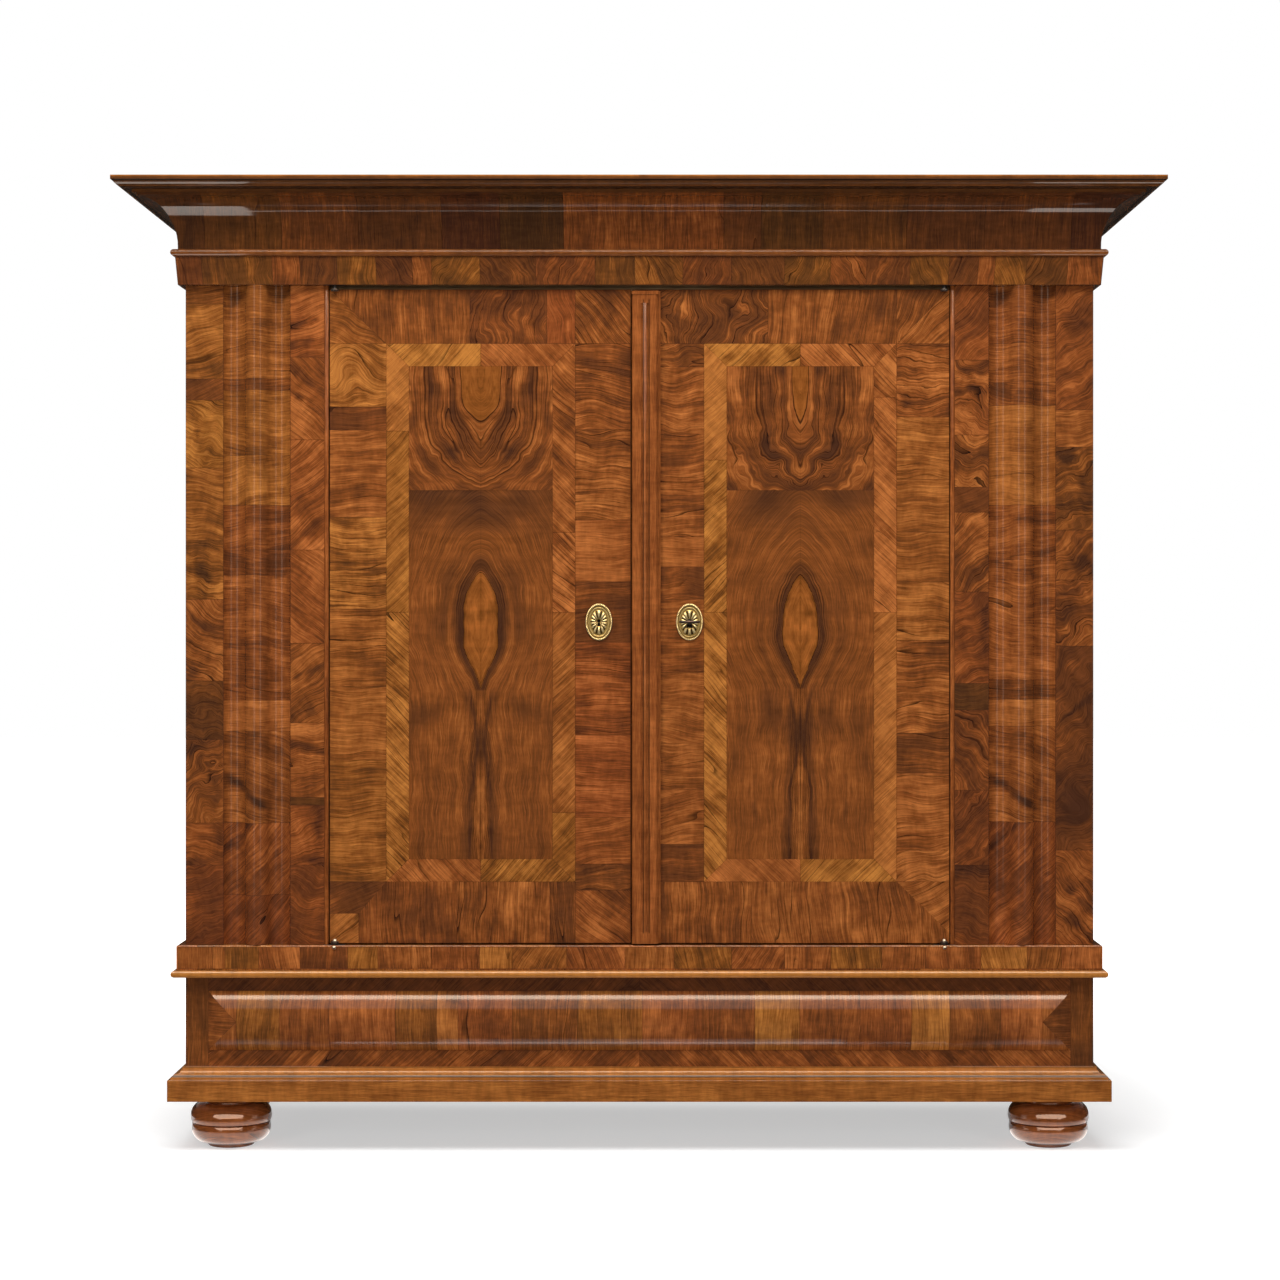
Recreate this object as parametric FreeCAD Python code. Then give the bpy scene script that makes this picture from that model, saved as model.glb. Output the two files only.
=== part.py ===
import FreeCAD, Part
import math
import os

# Two-door hall cupboard on turned front feet: a knock-down walnut case with a
# base, two side walls with broad front posts, two flush doors hung on pivot
# pins and a coved cornice that lifts off. X runs across the front, Y from
# front to back, Z up. "Outward" (out) is the distance in front of or beside
# the plane of the doors and side walls, negative inside the case.

# Case
case_half_width = 939.0
case_depth = 650.0
panel = 25.0
overrun = 5.0
fit_gap = 0.3

# Rise of an arc as a share of its chord
quarter_circle_share = (math.sqrt(2) - 1) / 2
half_circle_share = 0.5

# Heights, from the floor upwards
foot_height = 107.5
plinth_height = 44.5
base_moulding_height = 23.5
base_ground_height = 185.5
base_bead_height = 15.0
base_frame_height = 51.5
door_foot_gap = 3.0
door_height = 1352.5
door_head_gap = 8.0
frieze_height = 58.5
cornice_bead_height = 14.5
cove_height = 106.5
crown_height = 29.5

# Turned front feet: two ring-shaped buns on a pad, with a round tenon
foot_inset = 82.0
foot_pad_radius = 48.0
foot_pad_height = 7.4
lower_bun_radius = 83.5
lower_bun_round = 36.6
upper_bun_radius = 84.0
upper_bun_round = 33.0
foot_neck_height = 15.5
foot_groove_half_height = 1.75
foot_groove_depth = 6.0
foot_groove_level = 49.25
foot_tenon_radius = 19.0
foot_tenon_length = 70.0
foot_tenon_gap = 0.2

# Plain sawn back feet and the corner blocks that carry all four feet
back_foot_top = 110.0
back_foot_bottom = 92.0
back_foot_side_inset = 46.0
back_foot_rear_inset = 60.0
block_size = 110.0
block_height = 90.0

# Plinth board and the ogee moulding on it
plinth_out = 33.0
plinth_inside = 40.0
plinth_arris = 2.0
base_moulding_out = 27.0
base_moulding_foot_fillet = 4.0
base_moulding_quirk = 2.0
base_moulding_top_out = 6.0
base_moulding_top_fillet = 6.5
ogee_bulge_share = 0.2

# Cushion panel on the base front, hipped at its ends
cushion_end_margin = 47.0
cushion_rise = 25.0
cushion_bottom_margin = 33.5
cushion_top_margin = 29.0

# Bead and top frame of the base
base_bead_out = 27.0
base_frame_out = 16.5
base_frame_inside = 60.0
base_frame_arris = 3.0

# Front posts: strip, wave-moulded pilaster, strip and jamb bead on a core board
outer_strip_width = 78.0
pilaster_width = 138.5
inner_strip_width = 70.5
strip_thickness = 20.0
post_core_thickness = 30.0
wave_depth = 17.0
jamb_bead_width = 9.0
jamb_bead_out = 3.0

# Inside of the case
back_board_thickness = 18.0
back_board_count = 12
head_board_gap = 2.5
shelf_front_setback = 75.0
lower_shelf_height = 452.5
upper_shelf_height = 902.5
bearer_width = 25.0
bearer_height = 30.0
bearer_setback = 15.0

# Frieze, bead, cove and crown of the cornice
frieze_out = 14.0
frieze_lean = 5.0
cornice_inside = 31.0
cornice_bead_out = 27.5
cove_out = 14.0
cove_foot_fillet = 6.0
cove_lip_out = 85.0
cove_lip_height = 4.0
crown_out = 131.0
crown_inside_out = 20.0
crown_nose_height = 8.5
crown_nose_quirk = 4.0
crown_quirk_drop = 2.0
crown_ovolo_out = 108.0
crown_ovolo_foot = 9.0
crown_soffit_rise = 7.0
crown_fillet_out = 94.0
crown_bulge_share = 0.17
top_board_thickness = 18.0

# Doors
door_side_gap = 2.0
door_thickness = 30.0
veneer_thickness = 2.0
left_free_edge = -18.0
right_free_edge = -14.5
left_free_bevel = 2.0
door_stile = 90.0
door_rail = 100.0
door_middle_rail = 120.0
field_recess = 8.0
field_slope = 14.0

# Marquetry layout: outer crossband, narrow feather band, quartered centre
left_bands = {"hinge": 117.0, "free": 115.0}
right_bands = {"hinge": 109.0, "free": 148.0}
band_top = 112.0
band_bottom = 127.0
feather_width = 47.0
centre_joint_height = 937.0

# Astragal on the free edge of the right-hand door
strike_lap = 1.0
strike_width = 53.0
strike_out = 18.0
strike_side_fillet = 6.0
strike_side_out = 8.0
strike_arris = 3.0
strike_foot = 0.5
strike_head = 5.0
strike_cap_height = 7.0
strike_cap_out = 1.5
reed_channel_half_width = 8.0
reed_channel_depth = 3.0
reed_radius = 5.0
reed_stop = 25.0

# Pivot hinges: strap let into the door edge, pin, socket plate in the frame
pivot_inset = 11.0
pivot_out = 5.0
pivot_pin_radius = 4.0
pivot_clearance = 0.05
pivot_pin_depth = 14.0
pivot_end_gap = 2.0
pivot_nose_radius = 8.0
pivot_collar_radius = 7.0
strap_thickness = 4.0
strap_front = 6.0
strap_back = 24.0
strap_length = 80.0
strap_neck_half_width = 6.0
socket_plate_length = 44.0
socket_plate_half_width = 7.0

# Keyhole height and escutcheons
keyhole_height = 664.5
right_keyhole_inset = 118.0
left_keyhole_inset = 66.0
escutcheon_half_width = 28.0
escutcheon_half_height = 38.5
escutcheon_plate = 2.5
escutcheon_rim = 4.0
escutcheon_rim_height = 2.5
escutcheon_boss_half_width = 9.0
escutcheon_boss_half_height = 15.0
escutcheon_boss_height = 3.5
keyhole_radius = 4.6
keyhole_slot_half_width = 2.2
keyhole_slot_length = 13.0
escutcheon_pin_radius = 1.2
escutcheon_pin_inset = 4.0
escutcheon_pin_length = 9.0

# Box lock, bolt, keeper and key
lock_inset = 4.0
lock_beyond_key = 56.5
lock_above_key = 45.0
lock_below_key = 50.0
lock_depth = 28.0
lock_wall = 2.0
lock_throw = 20.0
bolt_bottom_above_key = 23.0
bolt_height = 14.0
bolt_setback = 10.0
bolt_thickness = 10.0
bolt_tail_beyond_key = 31.5
bolt_notch_depth = 4.0
bolt_notch_half_width = 12.0
bolt_gap = 0.5
keeper_inset = 5.0
keeper_length = 27.0
keeper_wall = 3.0
key_shank_radius = 4.0
key_bore_radius = 2.1
drill_pin_radius = 2.05
key_bit_radius = 26.0
key_bit_thickness = 3.0
key_bit_length = 6.0
key_collar_radius = 6.0
key_collar_length = 3.0
key_collar_out = 10.0
key_bow_half_width = 22.0
key_bow_half_depth = 16.0
key_bow_wire = 2.6
key_door_bore_radius = 6.0

# Slide bolts on the inner face of the left-hand door
slide_bolt_edge_inset = 30.0
slide_bolt_half_width = 5.0
slide_bolt_setback = 6.0
slide_bolt_thickness = 8.0
slide_bolt_length = 240.0
slide_bolt_throw = 18.0
slide_bolt_end_gap = 2.0
bolt_mortice_clearance = 2.0
guide_plate_half_width = 15.0
guide_plate_thickness = 2.0
guide_plate_length = 170.0
guide_plate_inset = 30.0
guide_clearance = 0.5
guide_wall = 2.0
guide_length = 14.0
bolt_knob_radius = 6.0
bolt_knob_out = 14.0

# Levels and planes that follow from the sizes above
plinth_z = foot_height
moulding_z = plinth_z + plinth_height
ground_z = moulding_z
cushion_ground_z = moulding_z + base_moulding_height
base_bead_z = cushion_ground_z + base_ground_height
base_frame_z = base_bead_z + base_bead_height
base_top_z = base_frame_z + base_frame_height
door_z = base_top_z + door_foot_gap
door_top_z = door_z + door_height
case_top_z = door_top_z + door_head_gap
cornice_bead_z = case_top_z + frieze_height
cove_z = cornice_bead_z + cornice_bead_height
crown_z = cove_z + cove_height
top_z = crown_z + crown_height
keyhole_z = door_z + keyhole_height

face_y = crown_out - (case_depth + crown_out) / 2
back_y = face_y + case_depth
door_back_y = face_y + door_thickness
core_y = face_y + strip_thickness
post_back_y = core_y + post_core_thickness
pivot_y = face_y - pivot_out

outer_strip_edge = case_half_width - outer_strip_width
inner_strip_edge = outer_strip_edge - pilaster_width
post_inner_edge = inner_strip_edge - inner_strip_width
jamb_edge = post_inner_edge - jamb_bead_width
door_hinge_edge = jamb_edge - door_side_gap
pivot_x = door_hinge_edge - pivot_inset
slide_bolt_x = left_free_edge - slide_bolt_edge_inset
strike_left_edge = right_free_edge - strike_lap
right_keyhole_x = right_free_edge + right_keyhole_inset
left_keyhole_x = left_free_edge - left_keyhole_inset
cushion_half_length = case_half_width - cushion_end_margin


def vec(x, y, z):
    return FreeCAD.Vector(x, y, z)


def block(x0, x1, y0, y1, z0, z1):
    """A box between two corners."""
    return Part.makeBox(x1 - x0, y1 - y0, z1 - z0, vec(x0, y0, z0))


def post(x, y, z0, z1, radius):
    """An upright round bar."""
    return Part.makeCylinder(radius, z1 - z0, vec(x, y, z0))


def bar_y(x, z, y0, y1, radius):
    """A round bar that runs from front to back."""
    return Part.makeCylinder(radius, y1 - y0, vec(x, y0, z), vec(0, 1, 0))


def outline_edges(points, place):
    """Edges through (a, b) points; a third value bulges the edge that leaves
    the point to its left by that share of the chord."""
    edges = []
    for here, there in zip(points, points[1:] + points[:1]):
        start = place(here[0], here[1])
        end = place(there[0], there[1])
        bulge = here[2] if len(here) == 3 else 0
        if bulge:
            step_a = there[0] - here[0]
            step_b = there[1] - here[1]
            mid_a = (here[0] + there[0]) / 2 - step_b * bulge
            mid_b = (here[1] + there[1]) / 2 + step_a * bulge
            edges.append(Part.Arc(start, place(mid_a, mid_b), end).toShape())
        else:
            edges.append(Part.LineSegment(start, end).toShape())
    return edges


def face_from(points, place):
    return Part.Face(Part.Wire(outline_edges(points, place)))


def plan_prism(points, z0, z1):
    """A plan outline of (x, y) points carried up from z0 to z1."""
    face = face_from(points, lambda x, y: vec(x, y, z0))
    return face.extrude(vec(0, 0, z1 - z0))


def front_prism(points, y0, y1):
    """A front outline of (x, z) points carried back from y0 to y1."""
    face = face_from(points, lambda x, z: vec(x, y0, z))
    return face.extrude(vec(0, y1 - y0, 0))


def run_wire_face(section, place):
    """Section faces are given as a function, so that a section may hold any
    curve: it gets the placing function and returns its edges."""
    return Part.Face(Part.Wire(section(place)))


def straight_section(points):
    return lambda place: outline_edges(points, place)


def front_run(section, low_out, high_out, z0, z1):
    """A length of moulding across the front, mitred at both ends."""
    reach = case_half_width + high_out + overrun
    face = run_wire_face(section, lambda out, z: vec(-reach, face_y - out, z))
    bar = face.extrude(vec(2 * reach, 0, 0))
    wide = case_half_width + high_out
    narrow = case_half_width + low_out
    plan = [(-wide, face_y - high_out), (wide, face_y - high_out),
            (narrow, face_y - low_out), (-narrow, face_y - low_out)]
    return bar.common(plan_prism(plan, z0 - overrun, z1 + overrun))


def side_run(section, low_out, high_out, z0, z1, side):
    """A length of moulding along one side, mitred in front, square behind."""
    start = face_y - high_out - overrun
    face = run_wire_face(
        section, lambda out, z: vec(side * (case_half_width + out), start, z))
    bar = face.extrude(vec(0, back_y - start, 0))
    wide = side * (case_half_width + high_out)
    narrow = side * (case_half_width + low_out)
    plan = [(wide, face_y - high_out), (wide, back_y),
            (narrow, back_y), (narrow, face_y - low_out)]
    return bar.common(plan_prism(plan, z0 - overrun, z1 + overrun))


def mitred_runs(section, low_out, high_out, z0, z1):
    """Front, left and right lengths of one moulding."""
    front = front_run(section, low_out, high_out, z0, z1)
    left = side_run(section, low_out, high_out, z0, z1, -1)
    right = side_run(section, low_out, high_out, z0, z1, 1)
    return front, left, right


def group(solids):
    return Part.makeCompound(solids)


# Feet and the blocks that hold them

def bun_foot(x):
    """One turned foot: pad, lower bun, groove, upper bun, neck and tenon."""
    lower_core = lower_bun_radius - lower_bun_round
    lower_centre = foot_pad_height + lower_bun_round
    upper_core = upper_bun_radius - upper_bun_round
    upper_centre = foot_height - foot_neck_height - upper_bun_round
    lower_lip = foot_groove_level - foot_groove_half_height
    upper_lip = foot_groove_level + foot_groove_half_height
    lower_lip_radius = lower_core + math.sqrt(
        lower_bun_round ** 2 - (lower_lip - lower_centre) ** 2)
    upper_lip_radius = upper_core + math.sqrt(
        upper_bun_round ** 2 - (upper_lip - upper_centre) ** 2)
    diagonal_share = math.sqrt(0.5)

    def at(radius, z):
        return vec(radius, 0, z)

    def line(start, end):
        return Part.LineSegment(start, end).toShape()

    pad_foot = at(foot_pad_radius, 0)
    pad_top = at(foot_pad_radius, foot_pad_height)
    lower_start = at(lower_core, foot_pad_height)
    lower_middle = at(lower_core + lower_bun_round * diagonal_share,
                      lower_centre - lower_bun_round * diagonal_share)
    lower_end = at(lower_lip_radius, lower_lip)
    groove = at(upper_lip_radius - foot_groove_depth, foot_groove_level)
    upper_start = at(upper_lip_radius, upper_lip)
    upper_middle = at(upper_core + upper_bun_round * diagonal_share,
                      upper_centre + upper_bun_round * diagonal_share)
    neck_foot = at(upper_core, upper_centre + upper_bun_round)
    neck_top = at(upper_core, foot_height)
    tenon_foot = at(foot_tenon_radius, foot_height)
    tenon_top = at(foot_tenon_radius, foot_height + foot_tenon_length)
    axis_top = at(0, foot_height + foot_tenon_length)
    edges = [
        line(at(0, 0), pad_foot),
        line(pad_foot, pad_top),
        line(pad_top, lower_start),
        Part.Arc(lower_start, lower_middle, lower_end).toShape(),
        line(lower_end, groove),
        line(groove, upper_start),
        Part.Arc(upper_start, upper_middle, neck_foot).toShape(),
        line(neck_foot, neck_top),
        line(neck_top, tenon_foot),
        line(tenon_foot, tenon_top),
        line(tenon_top, axis_top),
        line(axis_top, at(0, 0)),
    ]
    foot = Part.Face(Part.Wire(edges)).revolve(vec(0, 0, 0), vec(0, 0, 1), 360)
    foot.translate(vec(x, face_y + foot_inset, 0))
    return foot


def square_wire(x, y, z, width):
    half = width / 2
    corners = [vec(x - half, y - half, z), vec(x + half, y - half, z),
               vec(x + half, y + half, z), vec(x - half, y + half, z)]
    return Part.makePolygon(corners + corners[:1])


def sawn_foot(x):
    """One tapered block foot under a back corner."""
    y = back_y - back_foot_rear_inset
    bottom = square_wire(x, y, 0, back_foot_bottom)
    top = square_wire(x, y, foot_height, back_foot_top)
    return Part.makeLoft([bottom, top], True, True)


def foot_blocks():
    """Four corner blocks inside the plinth; the front ones take the tenons."""
    outer = case_half_width - plinth_inside
    front = face_y + plinth_inside
    rear = back_y - panel
    z1 = foot_height + block_height
    blocks = []
    for side in (-1, 1):
        x0, x1 = sorted((side * outer, side * (outer - block_size)))
        front_block = block(x0, x1, front, front + block_size, foot_height, z1)
        tenon_x = side * (case_half_width - foot_inset)
        hole = post(tenon_x, face_y + foot_inset, foot_height - overrun,
                    foot_height + foot_tenon_length + fit_gap,
                    foot_tenon_radius + foot_tenon_gap)
        blocks.append(front_block.cut(hole))
        blocks.append(block(x0, x1, rear - block_size, rear, foot_height, z1))
    return group(blocks)


# Base

def plinth_section():
    high = plinth_out - plinth_arris
    z1 = moulding_z - plinth_arris
    return straight_section([
        (-plinth_inside, plinth_z), (plinth_out, plinth_z),
        (plinth_out, z1, -quarter_circle_share), (high, moulding_z),
        (-plinth_inside, moulding_z)])


def base_moulding_section():
    """Foot fillet, ogee and top fillet."""
    ogee_foot_out = base_moulding_out - base_moulding_quirk
    ogee_foot_z = moulding_z + base_moulding_foot_fillet
    ogee_top_out = base_moulding_top_out + base_moulding_quirk
    ogee_top_z = cushion_ground_z - base_moulding_top_fillet
    middle_out = (ogee_foot_out + ogee_top_out) / 2
    middle_z = (ogee_foot_z + ogee_top_z) / 2
    return straight_section([
        (0, moulding_z), (base_moulding_out, moulding_z),
        (base_moulding_out, ogee_foot_z), (ogee_foot_out, ogee_foot_z, -ogee_bulge_share),
        (middle_out, middle_z, ogee_bulge_share), (ogee_top_out, ogee_top_z),
        (base_moulding_top_out, ogee_top_z), (base_moulding_top_out, cushion_ground_z),
        (0, cushion_ground_z)])


def base_front():
    return block(-case_half_width, case_half_width, face_y, face_y + panel,
                 ground_z, base_frame_z)


def base_side(side):
    x0, x1 = sorted((side * case_half_width, side * (case_half_width - panel)))
    return block(x0, x1, face_y + panel, back_y, ground_z, base_frame_z)


def base_back():
    inner = case_half_width - panel
    upper = block(-inner, inner, back_y - panel, back_y, ground_z, base_frame_z)
    lower_half = case_half_width - plinth_inside
    lower = block(-lower_half, lower_half, back_y - panel, back_y, plinth_z, ground_z)
    return upper.fuse(lower).removeSplitter()


def cushion():
    """Convex panel whose arched section returns round its two ends at hips."""
    z0 = cushion_ground_z + cushion_bottom_margin
    z1 = base_bead_z - cushion_top_margin
    half_height = (z1 - z0) / 2
    section = [(0, z0), (0, z1, cushion_rise / (2 * half_height))]
    reach = cushion_half_length + overrun
    face = face_from(section, lambda out, z: vec(-reach, face_y - out, z))
    long_arch = face.extrude(vec(2 * reach, 0, 0))
    radius = (half_height ** 2 + cushion_rise ** 2) / (2 * cushion_rise)
    centre_out = cushion_rise - radius
    knee_out = centre_out + math.sqrt(radius ** 2 - (half_height / 2) ** 2)
    ends = []
    for side in (-1, 1):
        tip = vec(side * cushion_half_length, face_y, z0)
        knee = vec(side * (cushion_half_length - half_height / 2), face_y - knee_out, z0)
        crest = vec(side * (cushion_half_length - half_height), face_y - cushion_rise, z0)
        ends.append((tip, knee, crest))
    (tip_l, knee_l, crest_l), (tip_r, knee_r, crest_r) = ends
    plan = Part.Wire([
        Part.Arc(tip_l, knee_l, crest_l).toShape(),
        Part.LineSegment(crest_l, crest_r).toShape(),
        Part.Arc(crest_r, knee_r, tip_r).toShape(),
        Part.LineSegment(tip_r, tip_l).toShape()])
    end_arch = Part.Face(plan).extrude(vec(0, 0, z1 - z0))
    return long_arch.common(end_arch)


def nose_section(inside, out, z0, z1):
    """A flat strip with a half-round outer edge."""
    radius = (z1 - z0) / 2
    return straight_section([
        (-inside, z0), (out - radius, z0, -half_circle_share),
        (out - radius, z1), (-inside, z1)])


def base_frame_section():
    arris = base_frame_arris
    z0, z1 = base_frame_z, base_top_z
    return straight_section([
        (-base_frame_inside, z0), (base_frame_out - arris, z0, -quarter_circle_share),
        (base_frame_out, z0 + arris), (base_frame_out, z1 - arris, -quarter_circle_share),
        (base_frame_out - arris, z1), (-base_frame_inside, z1)])


def bolt_mortice(z0, z1):
    """The hole that takes the tip of a slide bolt."""
    half = slide_bolt_half_width + bolt_mortice_clearance
    y0 = door_back_y + slide_bolt_setback - bolt_mortice_clearance
    y1 = (door_back_y + slide_bolt_setback + slide_bolt_thickness
          + bolt_mortice_clearance)
    return block(slide_bolt_x - half, slide_bolt_x + half, y0, y1, z0, z1)


def base_frame():
    """Mitred top frame of the base with its back rail, sunk for the pivots."""
    front, left, right = mitred_runs(base_frame_section(), -base_frame_inside,
                                     base_frame_out, base_frame_z, base_top_z)
    for side in (-1, 1):
        front = front.cut(socket_pocket(side, base_top_z, -1))
    front = front.cut(bolt_mortice(base_top_z - slide_bolt_throw - slide_bolt_end_gap, base_top_z + overrun))
    inner = case_half_width - base_frame_inside
    rail = block(-inner, inner, back_y - base_frame_inside, back_y,
                 base_frame_z, base_top_z)
    return group([front, left, right, rail])


def floor_board():
    inner = case_half_width - base_frame_inside
    return block(-inner, inner, face_y + base_frame_inside, back_y - base_frame_inside,
                 base_top_z - panel, base_top_z)


# Case walls, posts and interior

def side_wall(side):
    x0, x1 = sorted((side * case_half_width, side * (case_half_width - panel)))
    return block(x0, x1, core_y, back_y, base_top_z, case_top_z)


def upright(side, inner, outer, y0, y1):
    x0, x1 = sorted((side * inner, side * outer))
    return block(x0, x1, y0, y1, base_top_z, case_top_z)


def pilaster(side):
    """Wave moulding: a hollow, a swelling and a hollow of equal width."""
    third = pilaster_width / 3
    bulge = side * wave_depth / third
    edge = outer_strip_edge
    outline = [(side * edge, face_y, -bulge),
               (side * (edge - third), face_y, bulge),
               (side * (edge - 2 * third), face_y, -bulge),
               (side * inner_strip_edge, face_y),
               (side * inner_strip_edge, core_y),
               (side * edge, core_y)]
    return plan_prism(outline, base_top_z, case_top_z)


def jamb_bead(side):
    """Narrow upright with a rounded nose beside the door."""
    x0 = side * jamb_edge
    x1 = side * post_inner_edge
    bulge = jamb_bead_out / jamb_bead_width
    outline = [(x0, face_y, side * -bulge), (x1, face_y),
               (x1, post_back_y), (x0, post_back_y)]
    return plan_prism(outline, base_top_z, case_top_z)


def back_boards():
    inner = case_half_width - panel
    width = 2 * inner / back_board_count
    boards = []
    for index in range(back_board_count):
        x0 = -inner + index * width
        boards.append(block(x0, x0 + width, back_y - back_board_thickness, back_y,
                            base_top_z, case_top_z))
    return group(boards)


def head_board():
    inner = case_half_width - panel
    z0 = case_top_z - panel
    rear = back_y - back_board_thickness
    broad = block(-inner, inner, post_back_y, rear, z0, case_top_z)
    lip = block(-jamb_edge, jamb_edge, door_back_y + head_board_gap, post_back_y,
                z0, case_top_z)
    board = broad.fuse(lip).removeSplitter()
    return board.cut(bolt_mortice(z0 - overrun, z0 + slide_bolt_throw + slide_bolt_end_gap))


def shelf(height):
    inner = case_half_width - panel
    z0 = base_top_z + height
    return block(-inner, inner, face_y + shelf_front_setback,
                 back_y - back_board_thickness, z0, z0 + panel)


def shelf_bearers():
    """Side and back bearers under both shelves."""
    inner = case_half_width - panel
    rear = back_y - back_board_thickness
    front = face_y + shelf_front_setback + bearer_setback
    bars = []
    for height in (lower_shelf_height, upper_shelf_height):
        z1 = base_top_z + height
        z0 = z1 - bearer_height
        for side in (-1, 1):
            x0, x1 = sorted((side * inner, side * (inner - bearer_width)))
            bars.append(block(x0, x1, front, rear, z0, z1))
        bars.append(block(-inner + bearer_width, inner - bearer_width,
                          rear - bearer_width, rear, z0, z1))
    return group(bars)


# Cornice

def frieze_section():
    return straight_section([
        (-cornice_inside, case_top_z), (frieze_out, case_top_z),
        (frieze_out + frieze_lean, cornice_bead_z), (-cornice_inside, cornice_bead_z)])


def cove_section(place):
    """A quarter-ellipse hollow between a foot fillet and an upper lip."""
    foot_z = cove_z + cove_foot_fillet
    lip_z = crown_z - cove_lip_height
    across = cove_lip_out - cove_out
    rise = lip_z - foot_z
    steps = 2
    hollow = []
    for index in range(2 * steps + 1):
        angle = math.pi / 2 * index / (2 * steps)
        hollow.append(place(cove_lip_out - across * math.cos(angle),
                            foot_z + rise * math.sin(angle)))
    corners = [place(cove_lip_out, crown_z), place(-cornice_inside, crown_z),
               place(-cornice_inside, cove_z), place(cove_out, cove_z), hollow[0]]
    edges = [Part.Arc(hollow[2 * k], hollow[2 * k + 1], hollow[2 * k + 2]).toShape()
             for k in range(steps)]
    line_ends = [hollow[-1]] + corners
    for start, end in zip(line_ends, line_ends[1:]):
        edges.append(Part.LineSegment(start, end).toShape())
    return edges


def crown_section():
    """Nose fillet, quirk, ovolo, soffit and lower fillet, from the top down."""
    nose_z = top_z - crown_nose_height
    ovolo_top_out = crown_out - crown_nose_quirk
    ovolo_top_z = nose_z - crown_quirk_drop
    ovolo_foot_z = crown_z + crown_ovolo_foot
    soffit_z = crown_z + crown_soffit_rise
    return straight_section([
        (crown_inside_out, crown_z), (crown_fillet_out, crown_z),
        (crown_fillet_out, soffit_z), (crown_ovolo_out, soffit_z),
        (crown_ovolo_out, ovolo_foot_z, -crown_bulge_share), (ovolo_top_out, ovolo_top_z),
        (ovolo_top_out, nose_z), (crown_out, nose_z), (crown_out, top_z),
        (crown_inside_out, top_z)])


def frieze_runs():
    front, left, right = mitred_runs(frieze_section(), -cornice_inside,
                                     frieze_out + frieze_lean,
                                     case_top_z, cornice_bead_z)
    for side in (-1, 1):
        front = front.cut(socket_pocket(side, case_top_z, 1))
    return front, left, right


def top_board():
    half = case_half_width + crown_inside_out
    return block(-half, half, face_y - crown_inside_out, back_y,
                 crown_z, crown_z + top_board_thickness)


def cornice_back():
    inner = case_half_width - cornice_inside
    return block(-inner, inner, back_y - panel, back_y, case_top_z, crown_z)


# Pivot hinges

def socket_plate(side, seat_z, direction):
    """Iron plate let in flush: direction is up into the frieze or down into
    the base frame."""
    z0, z1 = sorted((seat_z, seat_z + direction * strap_thickness))
    x0 = side * pivot_x - socket_plate_length / 2
    plate = block(x0, x0 + socket_plate_length, pivot_y - socket_plate_half_width,
                  pivot_y + socket_plate_half_width, z0, z1)
    bore = post(side * pivot_x, pivot_y, z0 - overrun, z1 + overrun,
                pivot_pin_radius + pivot_clearance)
    return plate.cut(bore)


def socket_pocket(side, seat_z, direction):
    """Recess for the plate and the blind hole behind it."""
    z0, z1 = sorted((seat_z - direction * overrun, seat_z + direction * strap_thickness))
    x0 = side * pivot_x - socket_plate_length / 2
    recess = block(x0, x0 + socket_plate_length, pivot_y - socket_plate_half_width,
                   pivot_y + socket_plate_half_width, z0, z1)
    deep = seat_z + direction * (pivot_pin_depth + pivot_end_gap)
    h0, h1 = sorted((seat_z, deep))
    hole = post(side * pivot_x, pivot_y, h0, h1, pivot_pin_radius + pivot_clearance)
    return recess.fuse(hole)


def strap_body(side, z0, z1):
    """Cranked flat strap: bar in the door edge, neck and rounded nose."""
    x = side * pivot_x
    tip = side * (pivot_x - strap_length)
    near = side * (pivot_x + strap_neck_half_width)
    x0, x1 = sorted((tip, near))
    bar = block(x0, x1, face_y + strap_front, face_y + strap_back, z0, z1)
    neck = block(x - strap_neck_half_width, x + strap_neck_half_width,
                 pivot_y, face_y + strap_back, z0, z1)
    nose = post(x, pivot_y, z0, z1, pivot_nose_radius)
    return bar.fuse([neck, nose]).removeSplitter()


def hinge_strap(side, upper):
    """Strap and pin of one pivot; the lower pin has a bearing collar."""
    x = side * pivot_x
    if upper:
        strap = strap_body(side, door_top_z - strap_thickness, door_top_z)
        pin = post(x, pivot_y, door_top_z, case_top_z + pivot_pin_depth, pivot_pin_radius)
        return strap.fuse(pin)
    strap = strap_body(side, door_z, door_z + strap_thickness)
    pin = post(x, pivot_y, base_top_z - pivot_pin_depth, door_z, pivot_pin_radius)
    collar = post(x, pivot_y, base_top_z + fit_gap, door_z, pivot_collar_radius)
    return strap.fuse([pin, collar])


# Doors

def door_span(side):
    """X of the hinge edge and of the free edge."""
    free = left_free_edge if side < 0 else right_free_edge
    return side * door_hinge_edge, free


def panel_pocket(x0, x1, z0, z1):
    """Sloped recess of one field on the inner face of a door."""
    def ring(inset, y):
        corners = [vec(x0 + inset, y, z0 + inset), vec(x1 - inset, y, z0 + inset),
                   vec(x1 - inset, y, z1 - inset), vec(x0 + inset, y, z1 - inset)]
        return Part.makePolygon(corners + corners[:1])
    return Part.makeLoft([ring(field_slope, door_back_y - field_recess),
                          ring(0, door_back_y)], True, True)


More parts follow.
